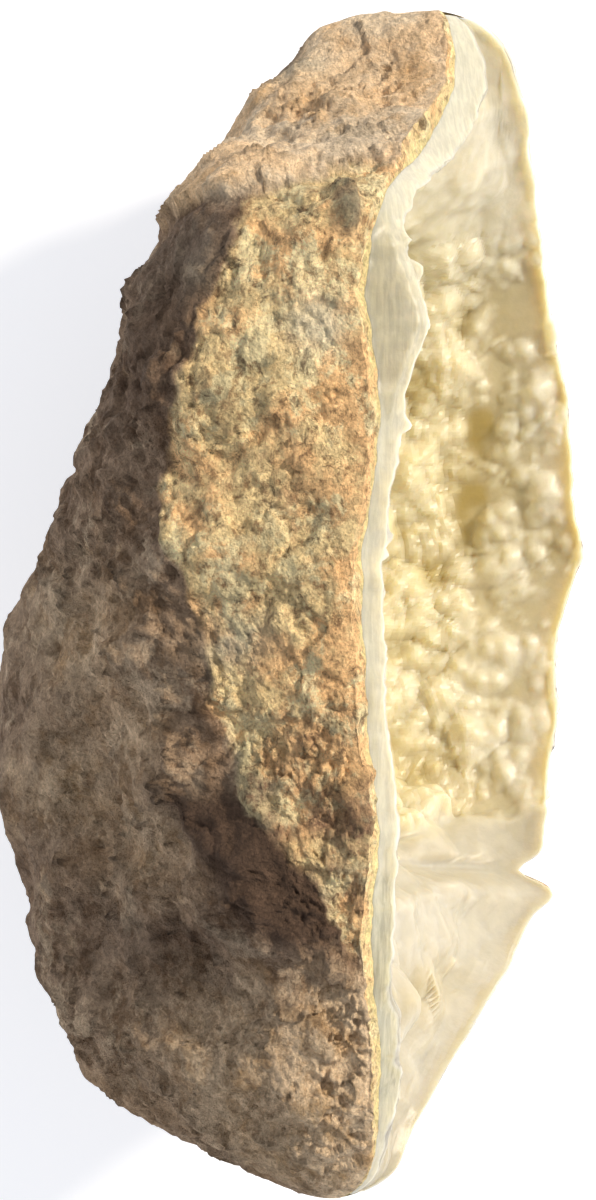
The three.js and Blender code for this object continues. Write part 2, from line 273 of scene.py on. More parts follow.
@dataclass(frozen=True)
class Lump:
    """A rounded swelling of a surface, or a dent where its height is negative."""

    at: tuple[float, float, float]
    reach: float
    height: float

    def lift(self, points: Array) -> Array:
        """Height of the lump at each point, in mm."""
        return self.height * bell(np.linalg.norm(points - np.array(self.at), axis=-1), self.reach)


@dataclass(frozen=True)
class Patch:
    """A patch as it is seen from above: its middle, its reach along X and Y, and its depth or strength."""

    x: float
    y: float
    long: float
    wide: float
    strength: float = 1.0

    def lift(self, points: Array) -> Array:
        """Depth or strength of the patch at each point, fading as a bell in both directions."""
        away = np.hypot((points[..., 0] - self.x) / self.long, (points[..., 1] - self.y) / self.wide)
        return self.strength * bell(away, 1)


def lifted(points: Array, forms: Sequence[Lump | Patch]) -> Array:
    """Sum of all the lumps or patches at each point."""
    return sum((form.lift(points) for form in forms), np.zeros(points.shape[:-1]))


def inner_steps(count: int) -> Array:
    """Even steps between 0 and 1, without both ends."""
    return np.linspace(0, 1, count + 2)[1:-1]


# ---- The stone's large shape ----


@dataclass(frozen=True)
class BrokenFace:
    """The broken face at each row: both edges, the way across and the way into the stone, as (y, z)."""

    x: Array
    near: Array
    far: Array
    across: Array
    inwards: Array
    share: Array  # width of the face against its full width, at most 1


@dataclass(frozen=True)
class StoneForm:
    """Large shape of the stone, in mm: its long lines at fifteen stations, and how deep the hollow goes."""

    shift: tuple[float, float, float] = (-0.7, 0.1379, 0.0)
    station_x: tuple[float, ...] = (
        -61.8, -59.5, -54, -46, -36, -24, -10, 5, 19, 31, 41, 47, 54, 60.8, 63.2,
    )
    low_tip: tuple[float, float] = (-3.6, 55.5)
    top_tip: tuple[float, float] = (-15, 33)
    # Near rim, shoulder, ridge, flank, back, underside, base at the back, base in front, far rim
    rails: tuple[tuple[tuple[float, float], ...], ...] = (
        ((-6.4, 60.5), (-7.6, 66), (-7.6, 69), (-6.4, 71.5), (-7, 73), (-5.8, 74), (-5.4, 74),
         (-7.4, 74), (-6, 73), (-7.8, 71), (-12, 54), (-15.4, 44), (-15.4, 39)),
        ((-3.2, 60), (-2, 66), (-1.5, 69.6), (-4.6, 71.8), (-2, 73), (1, 73.4), (4, 73.2),
         (3.5, 73.4), (1.8, 73.2), (-1.5, 71.4), (-3, 49.5), (-6.5, 41.5), (-8.6, 38)),
        ((0, 58.5), (4, 63.5), (5, 67.8), (-0.8, 70.2), (3.4, 70.4), (8.6, 70.2), (13.8, 69.6),
         (13.4, 69.4), (9.6, 70), (4.8, 69.4), (5, 48), (0.6, 42), (-3.8, 37.5)),
        ((2.6, 56), (11.2, 57.6), (16, 60), (12.4, 60.6), (16, 59.4), (20, 58.8), (21.2, 57.6),
         (18, 58), (14.2, 58.6), (9.4, 58), (7, 43), (3, 39), (-2.4, 36)),
        ((4, 51.5), (16.2, 48), (24.2, 46), (26.9, 45), (29, 44.5), (30.7, 44), (25.8, 43.5),
         (19.9, 43), (16.6, 42.5), (11.6, 41), (6.4, 36), (3.2, 34), (-2.4, 33)),
        ((3, 49), (12.6, 39.5), (20.4, 30), (25, 22), (28.4, 18), (30, 17), (26, 16.5),
         (20, 16), (16, 16), (11.2, 16), (6, 16.5), (1.4, 20), (-4, 28.5)),
        ((-1, 48.6), (3, 37), (7, 19.5), (12, 2.5), (18, -2.5), (20.5, -2.5), (17.5, -2.5),
         (13, -2.5), (9.5, -2.5), (5, -2), (0, 1), (-7.5, 10), (-12.5, 25)),
        ((-7.4, 50), (-8.4, 39.5), (-12, 25.5), (-15.4, 5.5), (-20.5, -2.3), (-22.5, -2.5), (-24.5, -2.5),
         (-23, -2.5), (-21, -2.5), (-19, -1.6), (-18, 2.6), (-18, 10.5), (-16.8, 24)),
        ((-9.6, 52), (-11.8, 47), (-17.6, 36), (-24.6, 17.6), (-27.2, 6.5), (-28.6, 3.8), (-30.6, 3.4),
         (-30.4, 3.4), (-28.4, 4.2), (-26.6, 7.4), (-25.6, 11.5), (-24.6, 18.4), (-22, 26)),
    )
    hollow_depth: tuple[float, ...] = (0, 0.6, 1.2, 2, 4.5, 15, 26, 30, 29, 22, 12, 5, 2.2, 1, 0)
    crust_depth: tuple[float, ...] = (0, 3.4, 7.5, 12, 19, 29, 36, 38, 36, 28.5, 20, 13, 8, 4.2, 0)
    rind_at_rim: tuple[float, float] = (2.6, 3.2)  # at the far rim, at the near rim
    crust_at_rim: tuple[float, float] = (4.2, 2.6)
    crust_proud: tuple[float, float] = (2.4, 1.5)
    full_rim_width: float = 26
    squareness: float = 0.72
    # The notch, the tooth and the swells of the far rim: place, reach and shift
    bites: tuple[tuple[float, float, float], ...] = (
        (-29.7, 1.2, 2.6), (-32.4, 1.6, -2.2), (5.5, 4, -1.5), (-13.5, 3.5, -0.9), (46.5, 2.5, -0.6),
    )
    # Wanders of the near edge along Y and Z and of the far edge along Y
    near_wanders: tuple[Wander, Wander] = (
        Wander(0.45, Relief(6.5, 4, 0.6, 31), 3.3), Wander(0.3, Relief(5, 3, 0.6, 32), 7.1),
    )
    far_wander: Wander = Wander(0.5, Relief(8, 4, 0.6, 33), 9.7)

    @property
    def last(self) -> int:
        """Number of the last station."""
        return len(self.station_x) - 1

    def along(self, values: Sequence[object], t: Array, turns_back: bool = False) -> Array:
        """Reads values off a smooth curve through the stations.

        The curve is a Catmull-Rom spline: its slope at a station is that of the line between its neighbours.

        Args:
            values: A number or a point at each station.
            t: Places along the stone, counted in stations, of shape (n,).
            turns_back: Whether the curve turns back at the stone's tips, and doesn't run straight on.

        Returns:
            The values at t, of shape (n,) or (n, 2).
        """
        v = np.array(values, dtype=float)
        before = v[1] if turns_back else 2 * v[0] - v[1]
        after = v[-2] if turns_back else 2 * v[-1] - v[-2]
        v = np.concatenate([before[None], v, after[None]])
        i = np.clip(np.floor(t), 0, self.last - 1).astype(int)
        f = (t - i).reshape(-1, *([1] * (v.ndim - 1)))
        p0, p1, p2, p3 = v[i], v[i + 1], v[i + 2], v[i + 3]
        bend = (2 * p0 - 5 * p1 + 4 * p2 - p3) * f**2 + (3 * p1 - p0 - 3 * p2 + p3) * f**3
        return 0.5 * (2 * p1 + (p2 - p0) * f + bend)

    def rail(self, number: int, t: Array) -> Array:
        """Places (y, z) of one long line of the stone at t."""
        return self.along([self.low_tip, *self.rails[number], self.top_tip], t)

    def broken_face(self, t: Array) -> BrokenFace:
        """Works out the broken face, with a small wander of both edges that the solids don't need.

        Args:
            t: Places along the stone, counted in stations.

        Returns:
            The broken face at each place.
        """
        x = self.along(self.station_x, t, turns_back=True)
        near, far = self.rail(0, t), self.rail(8, t)
        share = np.minimum(1, np.linalg.norm(near - far, axis=-1) / self.full_rim_width)
        for place, reach, shift in self.bites:
            far[:, 0] += shift * bell(x - place, reach) * share
        for axis, wander in enumerate(self.near_wanders):
            near[:, axis] += share * wander.height * wander.along(x)
        far[:, 0] += share * self.far_wander.height * self.far_wander.along(x)
        across = unit(near - far)
        inwards = np.stack([across[:, 1], -across[:, 0]], axis=-1)
        return BrokenFace(x, near, far, across, inwards, share)

    def arc(
        self,
        t: Array,
        turns: Array,
        inset: tuple[float | Array, float | Array],
        depth: Array,
        proud: tuple[float, float] = (0, 0),
    ) -> Array:
        """Round-bottomed arcs from the far rim to the near rim.

        Across the face an arc runs as (1 - cos turn) / 2, and into the stone as depth times sin turn to the
        power of the squareness. Its ends stand proud of the face by the fourth power of cos turn.

        Args:
            t: Places along the stone, of shape (n,).
            turns: Places along the arc, from 0 at the far rim to pi at the near rim, of shape (m,).
            inset: Distances from the far and the near edge, in mm.
            depth: Depth below the broken face at each t, in mm.
            proud: How far the ends stand out of the face, in mm.

        Returns:
            Points of shape (n, m, 3).
        """
        face = self.broken_face(t)
        start = face.far + face.across * (inset[0] * face.share)[:, None]
        end = face.near - face.across * (inset[1] * face.share)[:, None]
        blend = ((1 - np.cos(turns)) / 2)[None, :, None]
        lift = (proud[0] + (proud[1] - proud[0]) * turns / math.pi) * np.cos(turns) ** 4
        round_bottom = np.maximum(np.sin(turns), 0) ** self.squareness
        down = depth[:, None] * round_bottom - lift * face.share[:, None]
        flat = start[:, None] * (1 - blend) + end[:, None] * blend + face.inwards[:, None] * down[..., None]
        x = np.repeat(face.x[:, None, None], len(turns), axis=1)
        return np.concatenate([x, flat], axis=-1)

    def outside(self, t: Array, s: Array) -> Array:
        """The bare outside: a smooth curve through the nine long lines at each station.

        Between two corners it is a cubic Hermite curve, whose slopes weigh both neighbouring spans by the
        length of the other one, so short spans don't bulge.

        Args:
            t: Places along the stone, of shape (n,).
            s: Places across it, from 0 at the near rim to 8 at the far rim, of shape (m,).

        Returns:
            Points of shape (n, m, 3).
        """
        face = self.broken_face(t)
        middle = [self.rail(number, t) for number in range(1, 8)]
        corners = np.stack([face.near, *middle, face.far], axis=1)
        shortest = 1e-4  # mm, at the tips, where all corners meet
        spans = np.maximum(np.linalg.norm(np.diff(corners, axis=1), axis=-1), shortest)[..., None]
        ways = np.diff(corners, axis=1) / spans
        before, after = spans[:, :-1], spans[:, 1:]
        inner = (ways[:, :-1] * after + ways[:, 1:] * before) / (before + after)
        slopes = np.concatenate([ways[:, :1], inner, ways[:, -1:]], axis=1)
        i = np.clip(np.floor(s), 0, 7).astype(int)
        f = (s - i)[None, :, None]
        flat = (
            corners[:, i] * (2 * f**3 - 3 * f**2 + 1)
            + slopes[:, i] * (f**3 - 2 * f**2 + f) * spans[:, i]
            + corners[:, i + 1] * (3 * f**2 - 2 * f**3)
            + slopes[:, i + 1] * (f**3 - f**2) * spans[:, i]
        )
        x = np.repeat(face.x[:, None, None], len(s), axis=1)
        return np.concatenate([x, flat], axis=-1)

    def even_rows(self, start: float, stop: float, count: int) -> Array:
        """Places along the stone that lie evenly on its surface.

        The stone's corners are walked in small steps, their mean path is summed, and the sum is cut evenly.

        Args:
            start: First place, counted in stations.
            stop: Last place.
            count: How many places are wanted.

        Returns:
            The places, of shape (count,).
        """
        fine = np.linspace(start, stop, 3000)
        walk = self.outside(fine, np.arange(9.0))
        steps = np.linalg.norm(np.diff(walk, axis=0), axis=-1).mean(axis=1)
        path = np.concatenate([[0], np.cumsum(steps)])
        return np.interp(np.linspace(0, path[-1], count), path, fine)

    def to_frame(self, points: Array) -> Array:
        """Moves points from the stone's coordinates in mm to the part's frame in metres."""
        return (points + np.array(self.shift)) * MM


def grid_normals(points: Array) -> Array:
    """Unit normals of a grid: the cross product of the slopes down its columns and along its rows.

    Args:
        points: Grid of points, of shape (n, m, 3).

    Returns:
        Normals of shape (n, m, 3).
    """
    return unit(np.cross(np.gradient(points, axis=0), np.gradient(points, axis=1)))


def smoothed(normals: Array, reach: int) -> Array:
    """Evens out a grid of normals, so that a surface moved along them doesn't fold at its corners.

    Each normal becomes the mean of those up to a few rows away, and then of those up to a few columns away.

    Args:
        normals: Unit normals of shape (n, m, 3).
        reach: Number of rows and columns to either side.

    Returns:
        Unit normals of the same shape.
    """
    for axis in (0, 1):
        width = [(reach, reach) if k == axis else (0, 0) for k in range(3)]
        padded = np.pad(normals, width, mode="edge")
        count = normals.shape[axis]
        normals = sum(np.take(padded, np.arange(k, k + count), axis=axis) for k in range(2 * reach + 1))
    return unit(normals)


def closed_faces(rows: int, columns: int) -> tuple[Whole, Whole]:
    """Faces of a stack of closed rings with a point at each end.

    Vertex 0 is the low tip, then come the rings one after another, and the top tip is the last vertex.

    Args:
        rows: Number of rings.
        columns: Number of vertices in a ring.

    Returns:
        The four-sided faces between rings and the three-sided faces at the tips.
    """
    i = np.arange(columns)
    j = (i + 1) % columns
    ring = 1 + columns * np.arange(rows - 1)[:, None]
    quads = np.stack([ring + i, ring + columns + i, ring + columns + j, ring + j], axis=-1).reshape(-1, 4)
    top = 1 + columns * (rows - 1)
    low_cap = np.stack([0 * i, 1 + i, 1 + j], axis=-1)
    top_cap = np.stack([0 * i + 1 + columns * rows, top + j, top + i], axis=-1)
    return quads, np.concatenate([low_cap, top_cap])


# ---- Meshes and materials ----


def linear(colour: str) -> tuple[float, float, float, float]:
    """Turns an sRGB hex colour such as "#a08060" into a linear colour with full alpha."""
    parts = [int(colour[k : k + 2], 16) / 255 for k in (1, 3, 5)]
    red, green, blue = (c / 12.92 if c <= 0.04045 else ((c + 0.055) / 1.055) ** 2.4 for c in parts)
    return red, green, blue, 1.0


def make_mesh(
    name: str,
    points: Array,
    faces: Sequence[Sequence[int]],
    masks: Mapping[str, Array],
    smooth: bool | NDArray[np.bool_],
) -> bpy.types.Object:
    """Makes an object in the part's frame from points and faces.

    Args:
        name: Name of the object.
        points: Vertices in metres, of shape (n, 3).
        faces: Vertex numbers of each face.
        masks: Numbers of 0 to 1 at each vertex, kept as attributes for the materials.
        smooth: Whether the faces are shaded smoothly, for all of them or for each.

    Returns:
        The object, linked to the scene.
    """
    mesh = bpy.data.meshes.new(name)
    mesh.from_pydata(points.tolist(), [], faces)
    for mask, values in masks.items():
        attribute = mesh.attributes.new(mask, "FLOAT", "POINT")
        attribute.data.foreach_set("value", np.ascontiguousarray(values, np.float32))
    mesh.polygons.foreach_set("use_smooth", np.array(np.broadcast_to(smooth, len(mesh.polygons))))
    mesh.update()
    piece = bpy.data.objects.new(name, mesh)
    bpy.context.scene.collection.objects.link(piece)
    return piece


def fill(
    material: bpy.types.Material | bpy.types.World,
    node: bpy.types.Node,
    inputs: Mapping[str | int, object],
) -> None:
    """Gives a node's inputs their values, and links those whose value is an output socket."""
    for key, value in inputs.items():
        if isinstance(value, Socket):
            material.node_tree.links.new(value, node.inputs[key])
        else:
            node.inputs[key].default_value = value


def add_node(
    material: bpy.types.Material | bpy.types.World,
    kind: str,
    settings: Mapping[str, object] | None = None,
    inputs: Mapping[str | int, object] | None = None,
) -> bpy.types.Node:
    """Adds one node with its settings, values and links.

    Args:
        material: Material or world that gets the node.
        kind: Blender's name of the node's type, such as "ShaderNodeBump".
        settings: Properties of the node itself.
        inputs: Socket name or number to a value, or to the output socket that is linked to it.

    Returns:
        The node.
    """
    node = material.node_tree.nodes.new(kind)
    for key, value in (settings or {}).items():
        setattr(node, key, value)
    fill(material, node, inputs or {})
    return node


def new_material(name: str) -> tuple[bpy.types.Material, bpy.types.Node]:
    """Starts a material with its shader joined to the output.

    Args:
        name: Name of the finish.

    Returns:
        The material and its Principled shader.
    """
    material = bpy.data.materials.new(name)
    material.use_nodes = True
    material.node_tree.nodes.clear()
    shader = add_node(material, "ShaderNodeBsdfPrincipled")
    add_node(material, "ShaderNodeOutputMaterial", inputs={"Surface": shader.outputs["BSDF"]})
    return material, shader


@dataclass
class Paint:
    """Builds the colour and the grain of one material from cloudy patterns and the masks of its mesh."""

    material: bpy.types.Material
    where: Socket = field(init=False)
    patterns: dict[str, Socket] = field(default_factory=dict)

    def __post_init__(self) -> None:
        """Sets up Object coordinates in millimetres, so that a pattern's scale is one over its size."""
        coords = add_node(self.material, "ShaderNodeTexCoord").outputs["Object"]
        inputs = {"Vector": coords, "Scale": (1 / MM,) * 3}
        self.where = add_node(self.material, "ShaderNodeMapping", inputs=inputs).outputs["Vector"]

    def add_clouds(self, clouds: Mapping[str, "Cloud"], where: Socket | None = None) -> None:
        """Adds cloudy patterns, on the coordinates in millimetres unless others are given."""
        for name, cloud in clouds.items():
            inputs = {
                "Vector": self.where if where is None else where,
                "Scale": 1 / cloud.size,
                "Detail": cloud.layers,
                "Roughness": cloud.gain,
                "Distortion": cloud.distortion,
            }
            self.patterns[name] = add_node(self.material, "ShaderNodeTexNoise", inputs=inputs).outputs["Fac"]

    def ranged(
        self, by: str, between: tuple[float, float] | None, to: tuple[float, float]
    ) -> Socket:
        """Stretches the range of a pattern over another range, with both ends held.

        Args:
            by: Name of a pattern or of a mask of the mesh.
            between: The pattern's range, or None for its values as they are.
            to: The new range.

        Returns:
            The stretched value's socket.
        """
        value = self.patterns.get(by)
        if value is None:
            value = add_node(self.material, "ShaderNodeAttribute", {"attribute_name": by}).outputs["Fac"]
        if between is None:
            return value
        inputs = dict(zip(("Value", "From Min", "From Max", "To Min", "To Max"), (value, *between, *to)))
        return add_node(self.material, "ShaderNodeMapRange", {"clamp": True}, inputs).outputs["Result"]

    def layered(self, base: str | Socket, layers: Sequence["Coat | Shade"]) -> Socket:
        """Lays coats and shades over a colour, one after another.

        Args:
            base: The lowest colour, as sRGB hex or as an output socket.
            layers: The coats and shades, the lowest first.

        Returns:
            The last colour's socket.
        """
        colour = linear(base) if isinstance(base, str) else base
        for layer in layers:
            mode, share, top = layer.over(self)
            settings = {"data_type": "RGBA", "blend_type": mode, "clamp_factor": True}
            inputs = {0: share, 6: colour, 7: top}  # the factor and both colours
            colour = add_node(self.material, "ShaderNodeMix", settings, inputs).outputs[2]
        return colour

    def grained(self, grains: Sequence["Grain"]) -> Socket:
        """Lays grains over one another, the coarsest first, and gives the bent normal's socket."""
        under: dict[str, Socket] = {}
        for grain in grains:
            height = self.patterns[grain.by]
            inputs = {"Strength": grain.strength, "Distance": grain.depth * MM, "Height": height, **under}
            bump = add_node(self.material, "ShaderNodeBump", inputs=inputs)
            under = {"Normal": bump.outputs["Normal"]}
        return under["Normal"]


@dataclass(frozen=True)
class Cloud:
    """Cloudy pattern: size of its clouds in mm, its layers, their strength and its distortion."""

    size: float
    layers: float
    gain: float
    distortion: float = 0.0


@dataclass(frozen=True)
class Coat:
    """A colour over what lies under it, as a pattern or a mask of the mesh rises.

    Without a range the mask itself says how much the coat covers. With one, the cover goes from its first to
    its second value while the pattern goes through the range.
    """

    colour: str | Socket
    by: str
    between: tuple[float, float] | None = None
    cover: tuple[float, float] = (0.0, 1.0)

    def over(self, paint: Paint) -> tuple[str, Socket, object]:
        """How the coat lies over a colour: the way of mixing, its share and what is mixed in."""
        top = linear(self.colour) if isinstance(self.colour, str) else self.colour
        return "MIX", paint.ranged(self.by, self.between, self.cover), top


@dataclass(frozen=True)
class Shade:
    """Brightness by a pattern: the pattern's range, the brightness at its ends, and how much it counts."""

    by: str
    between: tuple[float, float]
    bright: tuple[float, float]
    strength: float = 1.0

    def over(self, paint: Paint) -> tuple[str, float, Socket]:
        """How the shade lies over a colour: the way of mixing, its share and what is mixed in."""
        return "MULTIPLY", self.strength, paint.ranged(self.by, self.between, self.bright)


@dataclass(frozen=True)
class Grain:
    """Grain that only shows in the light: the pattern that it follows, its depth in mm and its strength."""

    by: str
    depth: float
    strength: float = 1.0


@dataclass(frozen=True)
class WeatheredLimestone:
    """Silty limestone: ochre, orange and cream where it is freshly broken, grey-brown where it weathered.

    Its grain is 0.3 to 0.6 mm silt and crumbs of 1 to 3 mm, so it is matt, and each crumb throws a shade.
    """

    weathered: str = "#9e8670"
    weathered_dark: str = "#69523f"
    weathered_pale: str = "#d6c0a4"
    rust: str = "#a5876a"
    ochre: str = "#fce0a8"
    orange: str = "#fbcc94"
    cream: str = "#ffeebc"
    brown: str = "#d2af84"
    # pale colour that is partly tone and partly painted light on the sunlit lumps and lower face
    tan_and_painted_light: str = "#f2d6b2"
    scoop: str = "#ead4b6"
    umber: str = "#866a5c"
    vein: str = "#f0e2c0"
    contact: str = "#eedb9f"
    # painted shade: deep brown in the pits of the strip and in the hollows of the flank's grain
    crevice_shade: str = "#6f5640"
    # painted shade in the hollows between the clumps of the grain
    gap_shade: str = "#a07d5a"
    # weathering, and painted shade below the strip's edges and in a crease of the flank
    patina_and_shade: str = "#604c3e"
    blue_grey: str = "#b4af9c"
    crumb_size: float = 0.75  # mm
    silt_size: float = 0.32  # mm
    roughness: float = 0.93
    ior: float = 1.5
    specular: float = 0.25

    def dress(self) -> bpy.types.Material:
        """Builds the material.

        Returns:
            The material. It reads the masks strip, scoop, contact, stain, vein, tan, umber, dark and relief.
        """
        material, shader = new_material("weathered_limestone")
        paint = Paint(material)
        paint.add_clouds({
            "broad": Cloud(12, 5, 0.6, 0.3),
            "patches": Cloud(8, 7, 0.72, 0.3),
            "middle": Cloud(4.2, 7, 0.72),
            "holes": Cloud(2.3, 6, 0.78, 0.6),
            "clumps": Cloud(1.4, 6, 0.74, 0.2),
            "crumbs": Cloud(self.crumb_size, 4, 0.7),
            "silt": Cloud(self.silt_size, 2, 0.6),
        })
        inputs = {"Vector": paint.where, "Scale": 1 / self.crumb_size, "Randomness": 1.0}
        paint.patterns["chips"] = add_node(material, "ShaderNodeTexVoronoi", inputs=inputs).outputs["Color"]
        flank = paint.layered(self.weathered_dark, (
            Coat(self.weathered, "middle", (0.4, 0.54)),
            Coat(self.rust, "broad", (0.5, 0.62), (0, 0.6)),
            Coat(self.weathered_pale, "patches", (0.53, 0.6), (0, 0.5)),
            # painted shade in the hollows of the clump grain
            Coat(self.crevice_shade, "clumps", (0.36, 0.46), (0.55, 0)),
        ))
        tan_and_lit_colour = paint.layered(self.brown, (
            Coat(self.tan_and_painted_light, "middle", (0.36, 0.52)),
            # painted shade in the hollows of the clump grain
            Coat(self.gap_shade, "clumps", (0.36, 0.49), (0.6, 0)),
        ))
        strip = paint.layered(self.brown, (
            Coat(self.ochre, "middle", (0.34, 0.48)),
            Coat(self.orange, "broad", (0.46, 0.53), (0, 0.9)),
            Coat(self.cream, "patches", (0.5, 0.56), (0, 0.9)),
            # painted shade: deep brown pits, then the hollows of the clump grain
            Coat(self.crevice_shade, "holes", (0.55, 0.64), (0, 0.8)),
            Coat(self.gap_shade, "clumps", (0.36, 0.49), (0.85, 0)),
            Coat(self.umber, "umber"),
        ))
        scoop = paint.layered(self.brown, (
            Coat(self.scoop, "patches", (0.3, 0.48)),
            Coat(self.orange, "broad", (0.44, 0.56), (0, 0.45)),
        ))
        colour = paint.layered(flank, (
            # partly tone, partly painted light on the sunlit lumps and the lower face
            Coat(tan_and_lit_colour, "tan_and_painted_light"),
            # weathering, and painted shade on the facet below the strip's edge and in the crease
            Coat(self.patina_and_shade, "patina_and_painted_shade"),
            Coat(strip, "strip"),
            Coat(scoop, "scoop"),
            Coat(self.blue_grey, "stain"),
            Coat(self.vein, "vein"),
            Coat(self.contact, "contact"),
            # painted shade in the hollows of the fine relief
            Shade("relief", (0.0, 0.5), (0.5, 1.04)),
            Shade("chips", (0.2, 0.8), (0.84, 1.13)),
            # partly silt tone, partly painted shade in the silt grain's low spots and painted light on its
            # crests
            Shade("silt", (0.3, 0.7), (0.78, 1.2)),
        ))
        normal = paint.grained((Grain("clumps", 0.9), Grain("crumbs", 0.5), Grain("silt", 0.16, 0.8)))
        fill(material, shader, {
            "Base Color": colour,
            "Normal": normal,
            "Roughness": self.roughness,
            "IOR": self.ior,
            "Specular IOR Level": self.specular,
        })
        return material


@dataclass(frozen=True)
class MilkyQuartz:
    """Milky quartz: white to honey-coloured and translucent, so light bleeds a few mm into it.

    Its crystal faces are bright, and the broken band is a little duller, with fibrous grey streaks.
    """

    milk: str = "#dcd5bf"
    honey: str = "#ddd3af"
    stain: str = "#b8a46a"
    massive: str = "#bdb6a3"
    rim: str = "#bdb9a2"
    chalcedony: str = "#a5a28e"
    streak_scale: tuple[float, float, float] = (0.22, 2.0, 1.4)  # per mm, long along the stone
    roughness: float = 0.38
    ior: float = 1.54
    specular: float = 0.35
    transmission: float = 0.05
    glow: float = 1.0  # share of the light that bleeds under the surface
    glow_colours: tuple[float, float, float] = (1.0, 0.85, 0.6)
    glow_reach: float = 2.6  # mm

    def dress(self) -> bpy.types.Material:
        """Builds the material.

        Returns:
            The material. It reads the masks depth, band, pit and dull.
        """
        material, shader = new_material("milky_quartz")
        paint = Paint(material)
        paint.add_clouds({"clouds": Cloud(7, 4, 0.55, 0.3), "mottle": Cloud(1.6, 4, 0.6)})
        inputs = {"Vector": paint.where, "Scale": self.streak_scale}
        stretched = add_node(material, "ShaderNodeMapping", inputs=inputs).outputs["Vector"]
        paint.add_clouds({"streaks": Cloud(1.0, 5, 0.6, 0.5)}, stretched)
        striped = paint.layered(self.rim, (Coat(self.chalcedony, "streaks", (0.4, 0.6)),))
        colour = paint.layered(self.milk, (
            Coat(self.honey, "depth", (0.05, 0.5)),
            Coat(self.milk, "clouds", (0.52, 0.7), (0, 0.6)),
            Coat(self.massive, "dull"),
            Coat(self.stain, "pit"),
            Coat(striped, "band"),
            Shade("mottle", (0.3, 0.7), (0.9, 1.05), 0.8),
        ))
        fill(material, shader, {
            "Base Color": colour,
            "Normal": paint.grained((Grain("mottle", 0.3, 0.3),)),
            "Roughness": self.roughness,
            "IOR": self.ior,
            "Transmission Weight": self.transmission,
            "Subsurface Weight": self.glow,
            "Subsurface Radius": self.glow_colours,
            "Subsurface Scale": self.glow_reach * MM,
            "Specular IOR Level": self.specular,
        })
        return material


# ---- The rind ----


